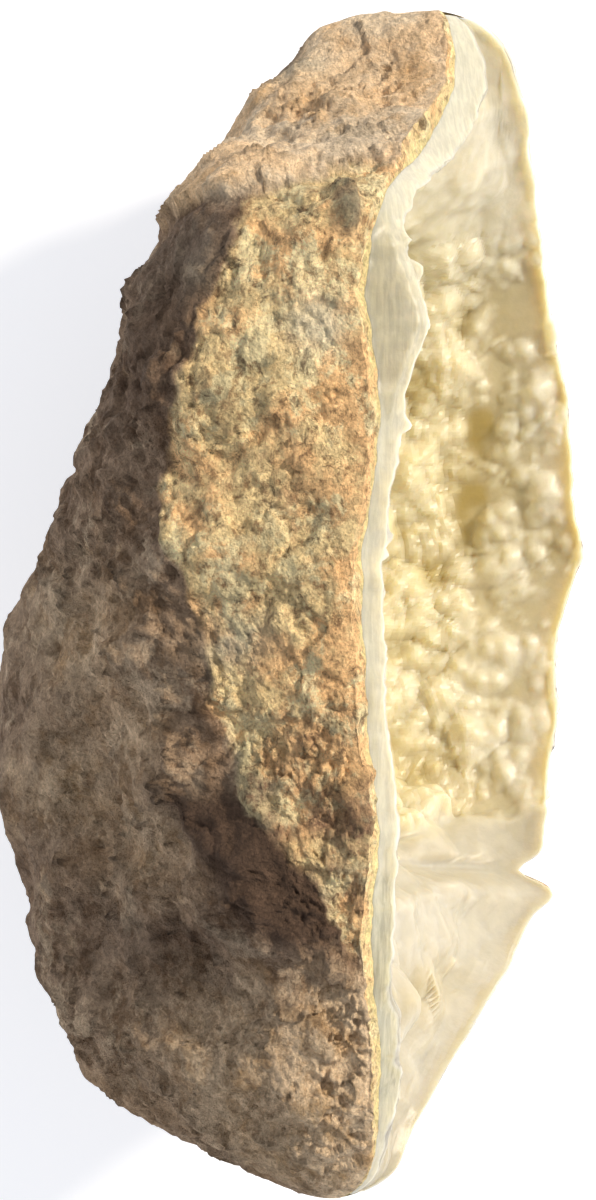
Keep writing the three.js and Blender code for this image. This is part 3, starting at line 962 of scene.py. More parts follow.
@dataclass
class Rind:
    """The limestone rind: its weathered outside, the crumbly broken strip, and the broken edges."""

    form: StoneForm
    rows: int = 420
    # Where the columns lie across the outside (0 near rim, 2 ridge, 4 back, 8 far rim), and how many
    columns: tuple[tuple[float, float, int], ...] = (
        (0, 2, 76), (2, 4, 66), (4, 5, 26), (5, 6, 18), (6, 7, 6), (7, 8, 18),
    )
    far_edge_columns: int = 6
    near_edge_columns: int = 11
    seat_columns: int = 8
    # The strip's crumbling edge along the ridge, as (x, y), and its wander
    strip_edge: tuple[tuple[float, float], ...] = (
        (-34.7, -5.7), (-32.7, -4.2), (-26.2, -0.2), (-20.1, 5.3), (-12.1, 7.4), (-4, 9.4), (3, 11.4),
        (8.1, 13.9), (11.1, 14.9), (23.2, 10.9), (29.2, 9.4), (34.2, 6.8), (40.3, 4.8), (44, 2),
    )
    edge_wander: Relief = Relief(4.5, 4, 0.62, 64)
    # The ledge below the scoop at the top end, as (y, x), and its wander
    scoop_ledge: tuple[tuple[float, float], ...] = ((-8, 44), (-2, 43), (5, 40.8), (11, 38.3), (20, 35))
    ledge_wander: Relief = Relief(4, 4, 0.6, 65)
    edge_drop: float = 1.7  # mm that the flank lies below the strip's edge
    scoop_drop: float = 2.0  # mm that the scoop lies below its ledge
    lumps: tuple[Lump, ...] = (
        Lump((-2, 23, 55), 7.5, 2.4),
        Lump((-20, 20, 59), 8, 2.2),
        Lump((-13, 31, 46), 7, 1.2),
        Lump((-31, 17, 61), 4.5, -2),
        Lump((-30, 6, 68), 4.5, -2.2),
        Lump((-17, 13, 66), 4.5, -1.8),
        Lump((-4, 15.5, 65), 4, -1.4),
        Lump((-44, 8, 68), 8, 1.6),
        Lump((-50, 18, 58), 6, 1.2),
        Lump((12, 14, 68), 5, 1.4),
        Lump((27, 14, 62), 4, -1.2),
        Lump((37.5, -4.6, 71), 2.6, -2.4),
        Lump((52, -3, 44), 6, -1.6),
        Lump((43, 8, 44), 4, 1.2),
        Lump((10, 26, 22), 10, 1.2),
        Lump((-28, 28, 28), 10, 1.2),
    )
    cavity: Patch = Patch(39, -4.8, 2.38, 1.4, 2.2)  # the small cavity in the upper part of the strip
    # Reliefs of the broken strip
    crumbly: Relief = Relief(2.4, 4, 0.75, 11)
    scarred: Relief = Relief(8, 5, 0.5, 12)
    pitted: Relief = Relief(3.0, 3, 0.6, 16)
    gnarled: Relief = Relief(12, 2, 0.5, 17)
    # Reliefs of the weathered flank
    worn: Relief = Relief(5.5, 6, 0.7, 13)
    cracked: Relief = Relief(10, 2, 0.5, 14)
    pocked: Relief = Relief(2.6, 3, 0.6, 15)
    flaked: Relief = Relief(6, 4, 0.5, 18)
    # Patches of colour on the outside; the pale brown ones are partly painted light on sunlit lumps
    tan_and_lit_patches: tuple[Patch, ...] = (
        Patch(-4, 22, 7, 7, 0.6),
        Patch(-24, 15, 7, 7, 0.4),
        Patch(-19, 26, 5, 5, 0.5),
        Patch(-14, 16, 4, 4, 0.35),
    )
    grey_patches: tuple[Patch, ...] = (
        Patch(-4, 6.5, 3.6, 3.6), Patch(56, -0.5, 3, 3, 0.9), Patch(39, -4.8, 1.87, 1.1, 1.2),
    )
    ridge_patch: Patch = Patch(33, 7.5, 4, 4, 0.4)
    vein: Patch = Patch(27.8, -1.7, 2.8, 2.8)

    def above_ledge(self, points: Array) -> Array:
        """How far points lie above the ledge below the scoop, in mm along X, with the ledge's wander."""
        y, x = np.array(self.scoop_ledge).T
        return points[..., 0] - np.interp(points[..., 1], y, x) + 0.7 * self.ledge_wander.at(points)

    def beyond_edge(self, points: Array) -> Array:
        """How far points lie beyond the strip's crumbling edge, in mm along Y, with the edge's wander."""
        x, y = np.array(self.strip_edge).T
        return points[..., 1] - np.interp(points[..., 0], x, y) + 0.9 * self.edge_wander.at(points)

    def strip_mask(self, points: Array, s: Array) -> Array:
        """How much of each point belongs to the freshly broken strip between the near rim and the ridge.

        Args:
            points: Points of the outside, of shape (n, m, 3).
            s: Their places across the outside, of shape (m,).

        Returns:
            Values of 0 to 1, of shape (n, m).
        """
        lower_end = rise(points[..., 0], -36.5, -34)
        upper_end = 1 - rise(self.above_ledge(points), -0.2, 0.6)
        shown = (1 - rise(s, 2.5, 3.0))[None, :]
        return (1 - rise(self.beyond_edge(points), -0.3, 0.5)) * shown * lower_end * upper_end

    def swell(self, points: Array, s: Array, share: Array) -> Array:
        """Moves the bare outside by the lumps and dents that the solids have too, and breaks off two edges.

        Beyond the strip's edge the surface drops, and by twice as much near the strip's lower tip. Above the
        ledge it steps down into the scoop.

        Args:
            points: Points of the outside, of shape (n, m, 3).
            s: Their places across the outside, of shape (m,).
            share: How wide the stone is at each row, against its full width, of shape (n,).

        Returns:
            The moved points.
        """
        out = -grid_normals(points)
        large = 0.55 * unevenness(points, 13, 9, 1.3) + 0.32 * unevenness(points, 5.2, 11, 4.1)
        large += lifted(points, self.lumps)
        fade = np.minimum(1, np.minimum(s, 8 - s) / 0.75)[None, :]
        beyond, above, x = self.beyond_edge(points), self.above_ledge(points), points[..., 0]
        drop = self.edge_drop * (1 + bell(x + 27, 7)) * np.clip(beyond / 5, 0, 1) * (1 - rise(beyond, 9, 20))
        drop *= stretch(x, -38, -34, 38, 42)
        drop += self.scoop_drop * np.clip(above / 0.9, 0, 1) * (1 - rise(above, 3, 13))
        drop *= (1 - rise(s, 3.5, 4.5))[None, :]
        return points + out * ((large * fade - drop) * share[:, None])[..., None]

    def crumble(self, points: Array, strip: Array) -> Array:
        """Height of crumbs, clumps, low scarps, pits and cracks over the surface, in mm.

        A crumb is a dome over a cell, a number less the squared distance to the cell's centre. Scarps are
        smooth steps of a slow relief. A crack runs where the two nearest cell centres are equally far. The
        strip is crumbly all over, and the weathered flank is softer.

        Args:
            points: Points of the surface, of shape (n, m, 3).
            strip: How much of each point belongs to the crumbly strip, of shape (n, m).

        Returns:
            Heights of shape (n, m).
        """
        wobble = np.stack([smooth_noise(points, 1.9, 71 + k) for k in range(3)], axis=-1)
        bent = points + 0.55 * wobble
        clump, _, clump_rank = cell_distances(bent, 2.6, 5)
        crumb, _, crumb_rank = cell_distances(bent, 1.0, 6)
        domes = 0.8 * (0.1 + clump_rank) * np.maximum(0, 0.7 - clump**2)
        domes += 0.3 * (0.1 + crumb_rank) * np.maximum(0, 0.65 - crumb**2)
        slow = self.scarred.at(points)
        scarps = 0.75 * rise(slow, -0.2, -0.12) + 0.6 * rise(slow, 0.22, 0.3) - 0.8
        pits = rise(self.pitted.at(points), 0.7, 1.2)
        coarseness = 0.75 + 0.6 * bell(points[..., 0] + 18, 12) + 0.35 * self.gnarled.at(points)
        broken = 0.5 * self.crumbly.at(points) + domes + scarps - 1.3 * pits
        broken *= np.clip(coarseness, 0.45, 1.5)
        broken -= self.cavity.lift(points)
        crack, beside, _ = cell_distances(points + 2.2 * wobble, 8.5, 7)
        soft = 0.6 * self.worn.at(points) + 0.55 * domes + 0.7 * rise(slow, 0.1, 0.16) - 0.4
        soft += 0.5 * rise(self.flaked.at(points), 0.15, 0.22)
        soft -= 0.8 * rise(self.cracked.at(points), 0.05, 0.5) * (1 - rise(beside - crack, 0.0, 0.065))
        soft -= 0.7 * rise(self.pocked.at(points), 0.8, 1.3)
        return strip * broken + (1 - strip) * soft

    def sections(self, wide: int) -> tuple[slice, slice, slice, slice]:
        """Columns of a ring on the outside, the far edge, the seat and the near edge."""
        ends = [0, *np.cumsum([wide, self.far_edge_columns, self.seat_columns, self.near_edge_columns])]
        outside, far_edge, seat, near_edge = (slice(start, end) for start, end in zip(ends, ends[1:]))
        return outside, far_edge, seat, near_edge

    def relief(self, ring: Array, s: Array, strip: Array) -> tuple[Array, Array]:
        """Fine relief of the rings, lower beside the rims and on the flank of the upper end.

        Args:
            ring: Rings of points, of shape (n, m, 3).
            s: Places of the outside's columns.
            strip: How much of each point belongs to the strip, of shape (n, m).

        Returns:
            Heights in mm, of shape (n, m), and the share of them that each column gets, of shape (m,).
        """
        outside, far_edge, seat, near_edge = self.sections(len(s))
        by_rim, by_flank, shown = np.zeros((3, ring.shape[1]))
        by_rim[outside] = 1 - rise(s, 0.05, 0.3)
        by_rim[seat] = by_rim[near_edge] = 1
        by_flank[outside] = rise(s, 1.7, 2.3)
        fine = np.minimum(self.crumble(ring, strip), 1.3 - 0.85 * by_rim) * (1 - 0.5 * by_rim)
        fine *= 1 - 0.65 * rise(ring[:, :1, 0], 30, 38) * by_flank
        shown[outside] = 1 - 0.7 * rise(s, 3.3, 4.3) - 0.25 * rise(s, 7.0, 7.8)
        shown[far_edge] = 0.05 * (1 - rise(inner_steps(self.far_edge_columns), 0.5, 1.0))
        shown[near_edge] = rise(inner_steps(self.near_edge_columns), 0.0, 0.4)
        return fine, shown

    def masks(self, bare: Array, near_edge: Array, s: Array, strip: Array, fine: Array) -> dict[str, Array]:
        """Masks for the material, one value for each vertex of the rings.

        Args:
            bare: The bare outside, of shape (n, len(s), 3).
            near_edge: The near edge before its relief, of shape (n, near_edge_columns, 3).
            s: Places of the outside's columns.
            strip: How much of each point belongs to the strip, of shape (n, m).
            fine: The fine relief in mm, of shape (n, m).

        Returns:
            Arrays of shape (n, m) by the name of the mask.
        """
        outside, far_columns, seat_columns, near_columns = self.sections(len(s))
        x, y = bare[..., 0], bare[..., 1]
        wander = Relief(4, 4, 0.6, 62).at(bare)
        across = s[None, :] + 0.5 * wander
        beyond = self.beyond_edge(bare)
        # painted shade, with some weathering: the facet below the strip's lower edge, the flank beside its
        # upper edge and the crease across the flank
        patina_and_painted_shade = stretch(beyond, -0.1, 0.5, 5.5, 9) * stretch(x, -37, -33, -21, -16)
        patina_and_painted_shade += 0.6 * stretch(beyond, 0, 1, 4, 9) * stretch(x, 14, 22, 38, 42)
        patina_and_painted_shade += 0.5 * bell(x + 34 + 1.5 * wander, 2) * stretch(y, 2, 7, 20, 26)
        # pale colour, partly tone and partly painted light: the sunlit lower face, and the sunlit lumps of
        # the flank
        by_ridge = 1 - 0.45 * rise(across, 0.6, 1.9) - 0.4 * rise(across, 2.2, 3.4)
        tan_and_painted_light = rise(-x + 4 * wander, 33, 44) * by_ridge
        tan_and_painted_light = (tan_and_painted_light + lifted(bare, self.tan_and_lit_patches)) * (1 + 0.4 * wander)
        grey = lifted(bare, self.grey_patches) + self.ridge_patch.lift(bare) * rise(s, 1.7, 2.2)[None, :]
        umber = (0.3 * rise(-x, 8, 12) + 0.7 * rise(-x, 17, 22)) * (1 - rise(-x, 28, 33))
        on_outside = {
            "scoop": rise(self.above_ledge(bare), -0.2, 0.6) * (1 - rise(across, 2.8, 3.8)),
            "patina_and_painted_shade": patina_and_painted_shade * (1 - rise(s, 3.0, 3.6))[None, :],
            "tan_and_painted_light": np.clip(np.maximum(tan_and_painted_light, 0.5 * rise(wander, 0.5, 0.9)), 0, 1),
            "stain": np.clip(grey * (0.5 + 0.5 * wander), 0, 0.7),
            "vein": np.clip(self.vein.lift(bare) * (1.2 + 0.6 * wander), 0, 0.92),
            "umber": np.clip(umber * (0.4 + 0.9 * wander), 0, 0.6),
            "contact": 0.0,
        }
        masks = {name: np.zeros(strip.shape) for name in on_outside}
        for name, values in on_outside.items():
            masks[name][:, outside] = values
        ragged = 0.75 * Relief(2.2, 4, 0.6, 63).at(near_edge)
        from_seat = np.linspace(0, 1, self.near_edge_columns)[None, :] + ragged
        masks["contact"][:, far_columns] = 0.8 * rise(inner_steps(self.far_edge_columns), 0.6, 0.95)[None, :]
        masks["contact"][:, seat_columns] = 0.8
        masks["contact"][:, near_columns] = 0.85 * (1 - rise(from_seat, 0.12, 0.5))
        # the relief mask carries the fine relief's height, which the material turns into painted shade in
        # its hollows
        return {**masks, "strip": strip, "relief": np.clip(0.55 + 0.5 * fine, 0, 1)}

    def build(self) -> bpy.types.Object:
        """Builds the rind's mesh as closed rings: the outside, the far edge, the seat and the near edge.

        Returns:
            The object, with its masks.
        """
        form = self.form
        t = form.even_rows(0, form.last, self.rows + 2)[1:-1]
        s = np.concatenate([np.linspace(a, b, n, endpoint=False) for a, b, n in self.columns] + [[8.0]])
        share = form.broken_face(t).share
        bare = form.outside(t, s)
        outside = self.swell(bare, s, share)
        turns = np.linspace(0, math.pi, self.seat_columns)
        seat = form.arc(t, turns, form.rind_at_rim, form.along(form.crust_depth, t))
        far_steps = inner_steps(self.far_edge_columns)[None, :, None]
        near_steps = inner_steps(self.near_edge_columns)[None, :, None]
        far_edge = outside[:, -1:] * (1 - far_steps) + seat[:, :1] * far_steps
        near_edge = seat[:, -1:] * (1 - near_steps) + outside[:, :1] * near_steps
        ring = np.concatenate([outside, far_edge, seat, near_edge], axis=1)
        strip = np.ones(ring.shape[:2])
        strip[:, : len(s)] = self.strip_mask(bare, s)
        fine, shown = self.relief(ring, s, strip)
        padded = np.concatenate([ring[:, -1:], ring, ring[:, :1]], axis=1)
        out = -grid_normals(padded)[:, 1:-1]
        ring = ring + out * (fine * shown[None, :] * np.minimum(1, 2 * share)[:, None])[..., None]
        ring[..., 2] = np.maximum(ring[..., 2], 0)

        low = np.array([form.station_x[0], *form.low_tip])
        top = np.array([form.station_x[-1], *form.top_tip])
        points = np.concatenate([low[None], ring.reshape(-1, 3), top[None]])
        quads, caps = closed_faces(self.rows, ring.shape[1])
        masks = {
            name: np.concatenate([[mask[0].mean()], mask.ravel(), [mask[-1].mean()]])
            for name, mask in self.masks(bare, near_edge, s, strip, fine).items()
        }
        faces = quads.tolist() + caps.tolist()
        piece = make_mesh("rind_weathered", form.to_frame(points), faces, masks, True)
        piece.data.materials.append(WeatheredLimestone().dress())
        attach(piece, "root")
        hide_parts("rind")
        return piece


# ---- The quartz ----


@dataclass
class Crust:
    """The quartz crust: its drusy and massive lining of the hollow, and its broken bands at the rims.

    Across the crust, s runs from 0 to 1 over the far band, to 2 over the lining and to 3 over the near band.
    """

    form: StoneForm
    # Stretches along the stone and their number of rows: the hollow's crystals need the closest ones
    stretches: tuple[tuple[float, float, int], ...] = ((0.5, 4.6, 64), (4.6, 9.9, 208), (9.9, 13.5, 52))
    far_columns: int = 34
    hollow_columns: int = 230
    near_columns: int = 28
    back_columns: int = 8
    bite: float = 0.12  # mm that the quartz reaches into the rind, as the two grew together
    deepest_pit: float = 2  # mm
    lowest: float = 1.2  # mm above the base
    overhang: Lump = Lump((29, -8, 69), 6.5, 4.2)  # the mass of quartz that hangs over the hollow
    swells: tuple[Lump, ...] = (
        Lump((13, -17, 8), 4.5, -2.2),
        Lump((6, -14, 9), 3.5, -1.8),
        Lump((4, -9, 10), 3, -1.4),
        Lump((-20, -15, 10), 5, -1.8),
        Lump((23, -10, 10), 4.5, -1.8),
        Lump((27, -16, 9), 5, 2),
        Lump((-8, -22, 8), 6, 1.6),
        Lump((-30, -20, 20), 6, 2.2),
        Lump((30, -9, 66), 4.5, 2.4),
        Lump((-4, 8, 25), 7, 2.4),
        Lump((14, 6, 40), 6, -2.4),
        Lump((-14, 4, 48), 6, 2),
    )
    olive_pits: tuple[Patch, ...] = (
        Patch(18.5, -20.4, 2.8, 1.6, 1.6),
        Patch(10, -19.3, 4.2, 1.6, 1.5),
        Patch(7.8, -11.4, 1.3, 1.2, 1.1),
        Patch(3.4, -15.1, 2.6, 2, 0.9),
        Patch(24, -12.5, 2, 3.8, 0.8),
        Patch(15.6, -10.3, 1.5, 1.1, 0.7),
        Patch(31, -18.5, 3, 1.4, 0.6),
        Patch(-18.4, -15.3, 2.4, 3.6, 0.7),
        Patch(1.1, -9.2, 1.6, 1.1, 0.7),
    )
    yellowed: tuple[Patch, ...] = (Patch(-41, -13.5, 3.2, 4, 0.4), Patch(6, -29.5, 3, 3, 0.35))
    near_wander: Wander = Wander(1.6, Relief(5, 3, 0.6, 34), 5.3)
    rough: Relief = Relief(2.2, 4, 0.55, 43)
    slow: Relief = Relief(9, 3, 0.55, 44)
    ledge_wander: Relief = Relief(6, 3, 0.5, 47)
    # The large crystals of the solids: how many along and across, and where they stand
    crystal_counts: tuple[int, int] = (12, 7)
    crystal_stations: tuple[float, float] = (4.4, 11.6)
    crystal_arc: tuple[float, float] = (0.13, 0.74)  # its start and its length, as shares of half a turn
    crystal_radius: tuple[float, float] = (1.8, 1.2)  # mm, the least and how much more there may be
    crystal_height: tuple[float, float] = (2.6, 2.0)
    steepest_rim: float = 1.6  # length of the near rim against its length along X

    @property
    def rind_inset(self) -> tuple[float, float]:
        """Distances of the quartz from the far and the near edge of the stone, in mm."""
        return self.form.rind_at_rim[0] - self.bite, self.form.rind_at_rim[1] - self.bite

    def quartz_surface(self, t: Array, turns: Array) -> Array:
        """The lining's surface with the swells and pits of the solids.

        Args:
            t: Places along the stone, of shape (n,).
            turns: Places across the hollow, from 0 at the far rim to pi at the near rim, of shape (m,).

        Returns:
            Points of shape (n, m, 3).
        """
        form = self.form
        face = form.broken_face(t)
        wander = self.near_wander.height * self.near_wander.along(face.x)
        near_width = form.crust_at_rim[1] + wander + 4.5 * rise(face.x, 34, 44)
        inset = (form.rind_at_rim[0] + form.crust_at_rim[0], form.rind_at_rim[1] + near_width)
        depth = form.along(form.hollow_depth, t)
        bare = form.arc(t, turns, inset, depth, form.crust_proud)
        ahead = form.arc(t, turns + 0.02, inset, depth, form.crust_proud)
        slope = unit(ahead - bare)
        out = np.stack([0 * slope[..., 0], -slope[..., 2], slope[..., 1]], axis=-1)
        fade = np.clip(4 * np.minimum(turns, math.pi - turns) / math.pi, 0, 1)[None, :] * face.share[:, None]
        swell = 0.7 * unevenness(bare, 9, 9, 2.2) + lifted(bare, self.swells)
        return bare + out * (fade * np.maximum(swell, -self.deepest_pit))[..., None]

    def even_turns(self, count: int) -> Array:
        """Places across the hollow that lie evenly on the arc of its middle section."""
        fine = np.linspace(0, math.pi, 600)
        middle = self.quartz_surface(np.array([7.0]), fine)[0]
        path = np.concatenate([[0], np.cumsum(np.linalg.norm(np.diff(middle, axis=0), axis=-1))])
        return np.interp(np.linspace(0, path[-1], count), path, fine)

    def front(self, t: Array) -> tuple[Array, Array, Array]:
        """The quartz that shows, as one sheet: the far broken band, the lining and the near broken band.

        The bands run straight from the rind to the lining. The sheet then gets the overhanging mass, which
        pushes it out of the hollow, and its mounds and crystals along its normals.

        Args:
            t: Places along the stone, of shape (n,).

        Returns:
            Points of shape (n, m, 3), the place of each column, and how deep each point lies in a pit.
        """
        form = self.form
        edges = form.arc(t, np.array([0, math.pi]), self.rind_inset, 0 * t)
        lining = self.quartz_surface(t, self.even_turns(self.hollow_columns))
        far = np.linspace(0, 1, self.far_columns, endpoint=False)
        near = np.linspace(0, 1, self.near_columns + 1)[1:]
        far_band = edges[:, :1] * (1 - far[:, None]) + lining[:, :1] * far[:, None]
        near_band = lining[:, -1:] * (1 - near[:, None]) + edges[:, 1:] * near[:, None]
        sheet = np.concatenate([far_band, lining, near_band], axis=1)
        s = np.concatenate([far, np.linspace(1, 2, self.hollow_columns), 2 + near])
        held = stretch(s, 0.0, 0.25, 2.6, 3.0)
        sheet[..., 1] -= self.overhang.lift(sheet) * held
        sheet[..., 2] += 0.25 * self.overhang.lift(sheet) * held
        normals = smoothed(grid_normals(sheet), 4)
        height, pit = self.druse(sheet, normals, s)
        moved = sheet + normals * (height * held * form.broken_face(t).share[:, None])[..., None]
        moved[..., 2] = np.maximum(moved[..., 2], self.lowest)
        return moved, s, pit

    def druse(self, points: Array, normals: Array, s: Array) -> tuple[Array, Array]:
        """Height of the mounds, crystal points, ledges and pits of the quartz, in mm.

        A mound is a dome over a cell or over one of the large crystals, and six-sided points cover the
        mounds. Towards both ends of the stone and on the bands the quartz is massive, with soft low forms.

        Args:
            points: Points of the front sheet, of shape (n, m, 3).
            normals: Unit normals of the sheet, of the same shape.
            s: Place of each column, from 0 to 3.

        Returns:
            Heights, and how deep each point lies in a pit, from 0 to 1, both of shape (n, m).
        """
        ledge_at = self.ledge_at(points)
        grown = self.crystalline(ledge_at) * stretch(s, 0.0, 0.3, 1.95, 2.15)[None, :]
        lump, _, lump_rank = cell_distances(points, 5.4, 41)
        mounds = 1.2 * (0.4 + lump_rank) * np.maximum(0, 0.75 - lump**2)
        tips = hex_points(points, normals, 1.75, 0.7, 42)
        mounds += 0.75 * tips + 0.6 * hex_points(points, normals, 3.4, 0.75, 48)
        clusters = np.zeros(points.shape[:-1])
        for foot, radius, height in zip(*self.large_crystals()):
            away = np.sum((points - foot) ** 2, axis=-1) / (1.7 * radius) ** 2
            clusters = np.maximum(clusters, 0.75 * height * np.clip(1 - away, 0, 1))
        slow = self.slow.at(points)
        grown_height = mounds + clusters + 0.15 * self.rough.at(points) + 0.5 * slow - 0.5
        stained = lifted(points, self.olive_pits) * stretch(s, 1.0, 1.1, 1.88, 1.98)[None, :]
        massive = 0.6 * hex_points(points, normals, 5.5, 0.6, 45) + 0.2 * tips + 0.5 * slow + 0.4
        smooth_band = (0.08 + 0.92 * rise(s, 0.9, 1.5)) * (0.15 + 0.85 * (1 - rise(s, 1.88, 2.02)))
        lip = (0.3 + 0.9 * bell(points[..., 0] + 15, 7)) * tips * bell(s - 2.0, 0.12)[None, :]
        shelf = 1.8 * (1 - rise(ledge_at, -26.8, -24.0)) * stretch(s, 1.0, 1.5, 1.7, 1.98)[None, :]
        shelf *= rise(ledge_at, -45, -34)
        height = grown * (grown_height - stained) + (1 - grown) * massive * smooth_band[None, :]
        lowest = -0.2 - 1.9 * stretch(s, 0.9, 1.25, 1.8, 2.0)[None, :]
        height = np.maximum(height + shelf + lip, lowest)
        pit = 0.4 * rise(-grown_height, 0.4, 1.3) + 0.6 * rise(stained, 0.1, 0.9)
        pit += 0.25 * rise(slow, 0.4, 0.9)
        return height, np.clip(pit, 0, 1) * grown

    def ledge_at(self, points: Array) -> Array:
        """Places of points in mm along X, with the wander of the ledge at the low end added."""
        return points[..., 0] + 1.6 * self.ledge_wander.at(points) + 2.6 * smooth_noise(points, 15, 49)

    def crystalline(self, x: Array) -> Array:
        """How freely crystals grow at a place along the stone, from 0 to 1."""
        return rise(x, -25.5, -23) * (1 - 0.85 * rise(x, 34, 42))

    def depth_of(self, points: Array, face: BrokenFace) -> Array:
        """How far points lie below the broken face, from 0 at the face to 1 at 30 mm.

        Args:
            points: Points in rows, of shape (n, m, 3).
            face: The broken face of the same rows.

        Returns:
            Values of 0 to 1, of shape (n, m).
        """
        below = np.sum((points[..., 1:] - face.near[:, None]) * face.inwards[:, None], axis=-1)
        return np.clip(below / 30, 0, 1)

    def large_crystals(self) -> tuple[Array, Array, Array]:
        """Places of the large crystals of the solids, which small crystals have grown over.

        Returns:
            Their feet, radii and heights in mm.
        """
        form = self.form
        along_count, across_count = self.crystal_counts
        number = np.arange(along_count * across_count)
        row, i = np.divmod(number, across_count)

        def wander(k: int) -> Array:
            """Numbers scattered evenly between 0 and 1, one for each crystal."""
            return ((number + 1) * GOLDEN_ANGLE * k) % 1

        start, stop = self.crystal_stations
        t = start + (stop - start) * (row + wander(1)) / along_count
        turn = math.pi * (self.crystal_arc[0] + self.crystal_arc[1] * (i + wander(3)) / across_count)
        feet = self.quartz_surface(t, turn)[number, number]
        before, after = form.broken_face(t - 0.1), form.broken_face(t + 0.1)
        climb = np.linalg.norm(after.near - before.near, axis=-1) / (after.x - before.x)
        kept = ~((turn > math.pi / 2) & (np.hypot(1, climb) > self.steepest_rim))
        radius = self.crystal_radius[0] + self.crystal_radius[1] * wander(11)
        height = self.crystal_height[0] + self.crystal_height[1] * wander(13)
        return feet[kept], radius[kept], height[kept]

    def masks(self, sheet: Array, s: Array, pit: Array, face: BrokenFace) -> dict[str, Array]:
        """Masks for the material on the front sheet.

        Args:
            sheet: Points of the front sheet, of shape (n, m, 3).
            s: Place of each column, from 0 to 3.
            pit: How deep each point lies in a pit, of shape (n, m).
            face: The broken face of the same rows.

        Returns:
            Arrays of shape (n, m) by the name of the mask.
        """
        x = sheet[..., 0]
        streaked = rise(x, 24, 32) * rise(s, 1.86, 1.98)[None, :]
        chalcedony = stretch(-x, 27, 31, 48, 52) * rise(s, 1.97, 2.2)[None, :]
        plain = 0.7 * rise(s, 2.0, 2.3)[None, :] * (1 - rise(x, 24, 32))
        return {
            "depth": self.depth_of(sheet, face),
            "band": np.clip(0.75 * streaked + chalcedony + plain, 0, 1),
            "pit": pit + lifted(sheet, self.yellowed),
            "dull": (1 - rise(self.ledge_at(sheet), -27, -23)) * (1 - rise(s, 1.9, 2.1))[None, :],
        }

    def build(self) -> bpy.types.Object:
        """Builds the crust's mesh as closed rings: the front sheet, then back behind it against the rind.

        Returns:
            The object, with its masks.
        """
        form = self.form
        t = np.unique(np.concatenate([form.even_rows(*stretch) for stretch in self.stretches]))
        sheet, s, pit = self.front(t)
        depth = np.maximum(form.along(form.crust_depth, t) - 0.5, 0.6)
        turns = math.pi * inner_steps(self.back_columns)
        back = form.arc(t, turns, self.rind_inset, depth)[:, ::-1]
        ring = np.concatenate([sheet, back], axis=1)
        wide, count = len(s), ring.shape[1]
        masks = {}
        for name, values in self.masks(sheet, s, pit, form.broken_face(t)).items():
            around = np.pad(values, ((0, 0), (0, count - wide)))
            masks[name] = np.concatenate([[0], around.ravel(), [0]])
        tips = [ring[end].mean(axis=0)[None] for end in (0, -1)]
        points = np.concatenate([tips[0], ring.reshape(-1, 3), tips[1]])
        quads, caps = closed_faces(len(t), count)
        faces = quads[:, ::-1].tolist() + caps[:, ::-1].tolist()
        faceted = np.zeros(count, bool)
        faceted[:wide] = (s > 1.12) & (s <= 2)
        flat = (self.crystalline(self.ledge_at(ring[:-1])) > 0.5) & faceted
        smooth = np.concatenate([~flat.ravel(), np.ones(len(caps), bool)])
        piece = make_mesh("quartz_lining", form.to_frame(points), faces, masks, smooth)
        piece.data.materials.append(MilkyQuartz().dress())
        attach(piece, "root")
        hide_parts("crystal_crust")
        return piece


# ---- Stage, light and camera ----


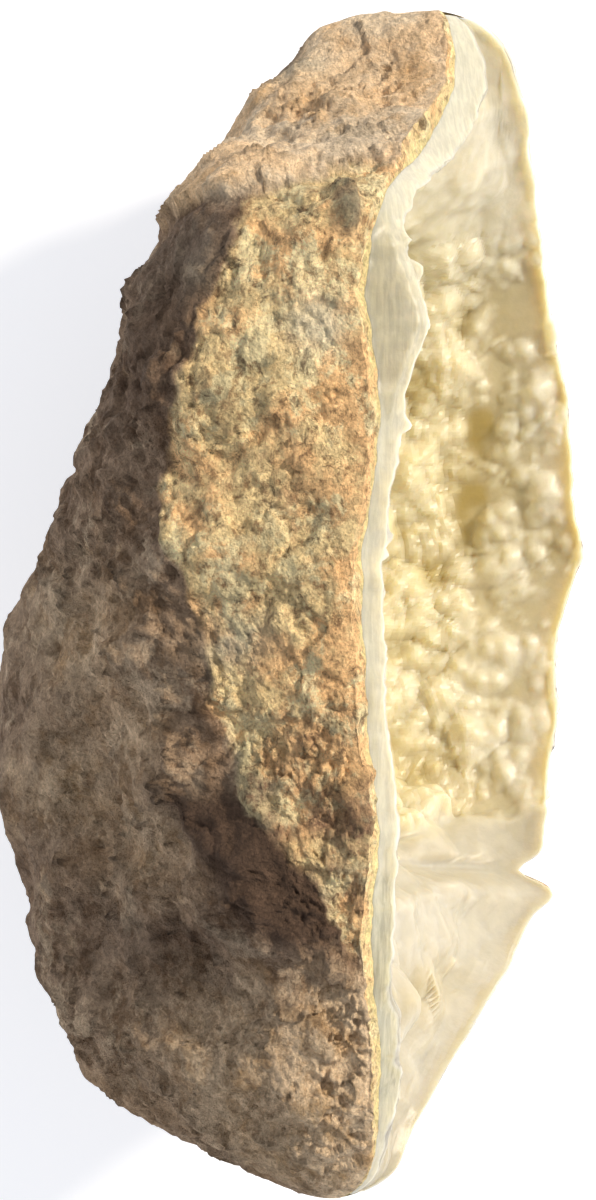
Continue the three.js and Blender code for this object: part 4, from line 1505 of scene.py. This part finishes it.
@dataclass
class Studio:
    """Pale floor, soft warm key light from the picture's upper right, and a bright surrounding."""

    form: StoneForm
    floor_size: float = 6.0  # m
    floor_colour: str = "#d6d8dc"
    floor_glow_colour: str = "#fafbff"
    floor_glow: float = 0.6
    floor_roughness: float = 0.9
    camera_height: float = 634  # mm above the base
    lens: float = 168  # mm
    sensor_width: float = 36  # mm
    sun_strength: float = 3.6
    sun_width: float = 9  # degrees
    sun_colour: str = "#fff3e0"
    sun_from: tuple[float, float, float] = (0.4, -0.72, 0.65)
    sky_strength: float = 0.62
    sky_colour: str = "#eef0f4"

    def build(self) -> None:
        """Builds the floor, the lights and the camera."""
        self.build_floor()
        self.build_lights()
        self.build_camera()

    def build_floor(self) -> None:
        """Lays a pale matt floor under the stone."""
        half = self.floor_size / 2
        corners = np.array([[-half, -half, 0], [half, -half, 0], [half, half, 0], [-half, half, 0]])
        floor = make_mesh("floor", corners, [[0, 1, 2, 3]], {}, False)
        material, shader = new_material("pale_card")
        fill(material, shader, {
            "Base Color": linear(self.floor_colour),
            "Roughness": self.floor_roughness,
            "Emission Color": linear(self.floor_glow_colour),
            "Emission Strength": self.floor_glow,
        })
        floor.data.materials.append(material)

    def build_lights(self) -> None:
        """Sets a low warm sun on the hollow's side and fills the rest from a pale sky."""
        sun = bpy.data.lights.new("key", "SUN")
        sun.energy = self.sun_strength
        sun.angle = math.radians(self.sun_width)
        sun.color = linear(self.sun_colour)[:3]
        lamp = bpy.data.objects.new("key", sun)
        bpy.context.scene.collection.objects.link(lamp)
        towards = np.array(self.sun_from)
        towards /= np.linalg.norm(towards)
        lamp.rotation_euler = (math.acos(towards[2]), 0, math.atan2(towards[0], -towards[1]))
        world = bpy.data.worlds.new("pale_sky")
        world.use_nodes = True
        world.node_tree.nodes.clear()
        inputs = {"Color": linear(self.sky_colour), "Strength": self.sky_strength}
        sky = add_node(world, "ShaderNodeBackground", inputs=inputs)
        add_node(world, "ShaderNodeOutputWorld", inputs={"Surface": sky.outputs["Background"]})
        bpy.context.scene.world = world

    def build_camera(self) -> None:
        """Hangs the camera above the stone, looking straight down with +X up in the picture."""
        data = bpy.data.cameras.new("camera")
        data.lens = self.lens
        data.sensor_width = self.sensor_width
        camera = bpy.data.objects.new("camera", data)
        camera.location = self.form.to_frame(np.array([0, 0, self.camera_height]))
        camera.rotation_euler = (0, 0, -math.pi / 2)
        bpy.context.scene.collection.objects.link(camera)
        bpy.context.scene.camera = camera


def main() -> None:
    """Builds the stone piece by piece, then the studio."""
    logging.basicConfig(level=logging.INFO, format="%(message)s")
    form = StoneForm()
    for part in (Rind(form), Crust(form)):
        piece = part.build()
        log.info("%s: %d vertices, %d faces", piece.name, len(piece.data.vertices), len(piece.data.polygons))
    Studio(form).build()
    bpy.context.scene.view_settings.view_transform = "Standard"


if __name__ == "__main__":
    main()
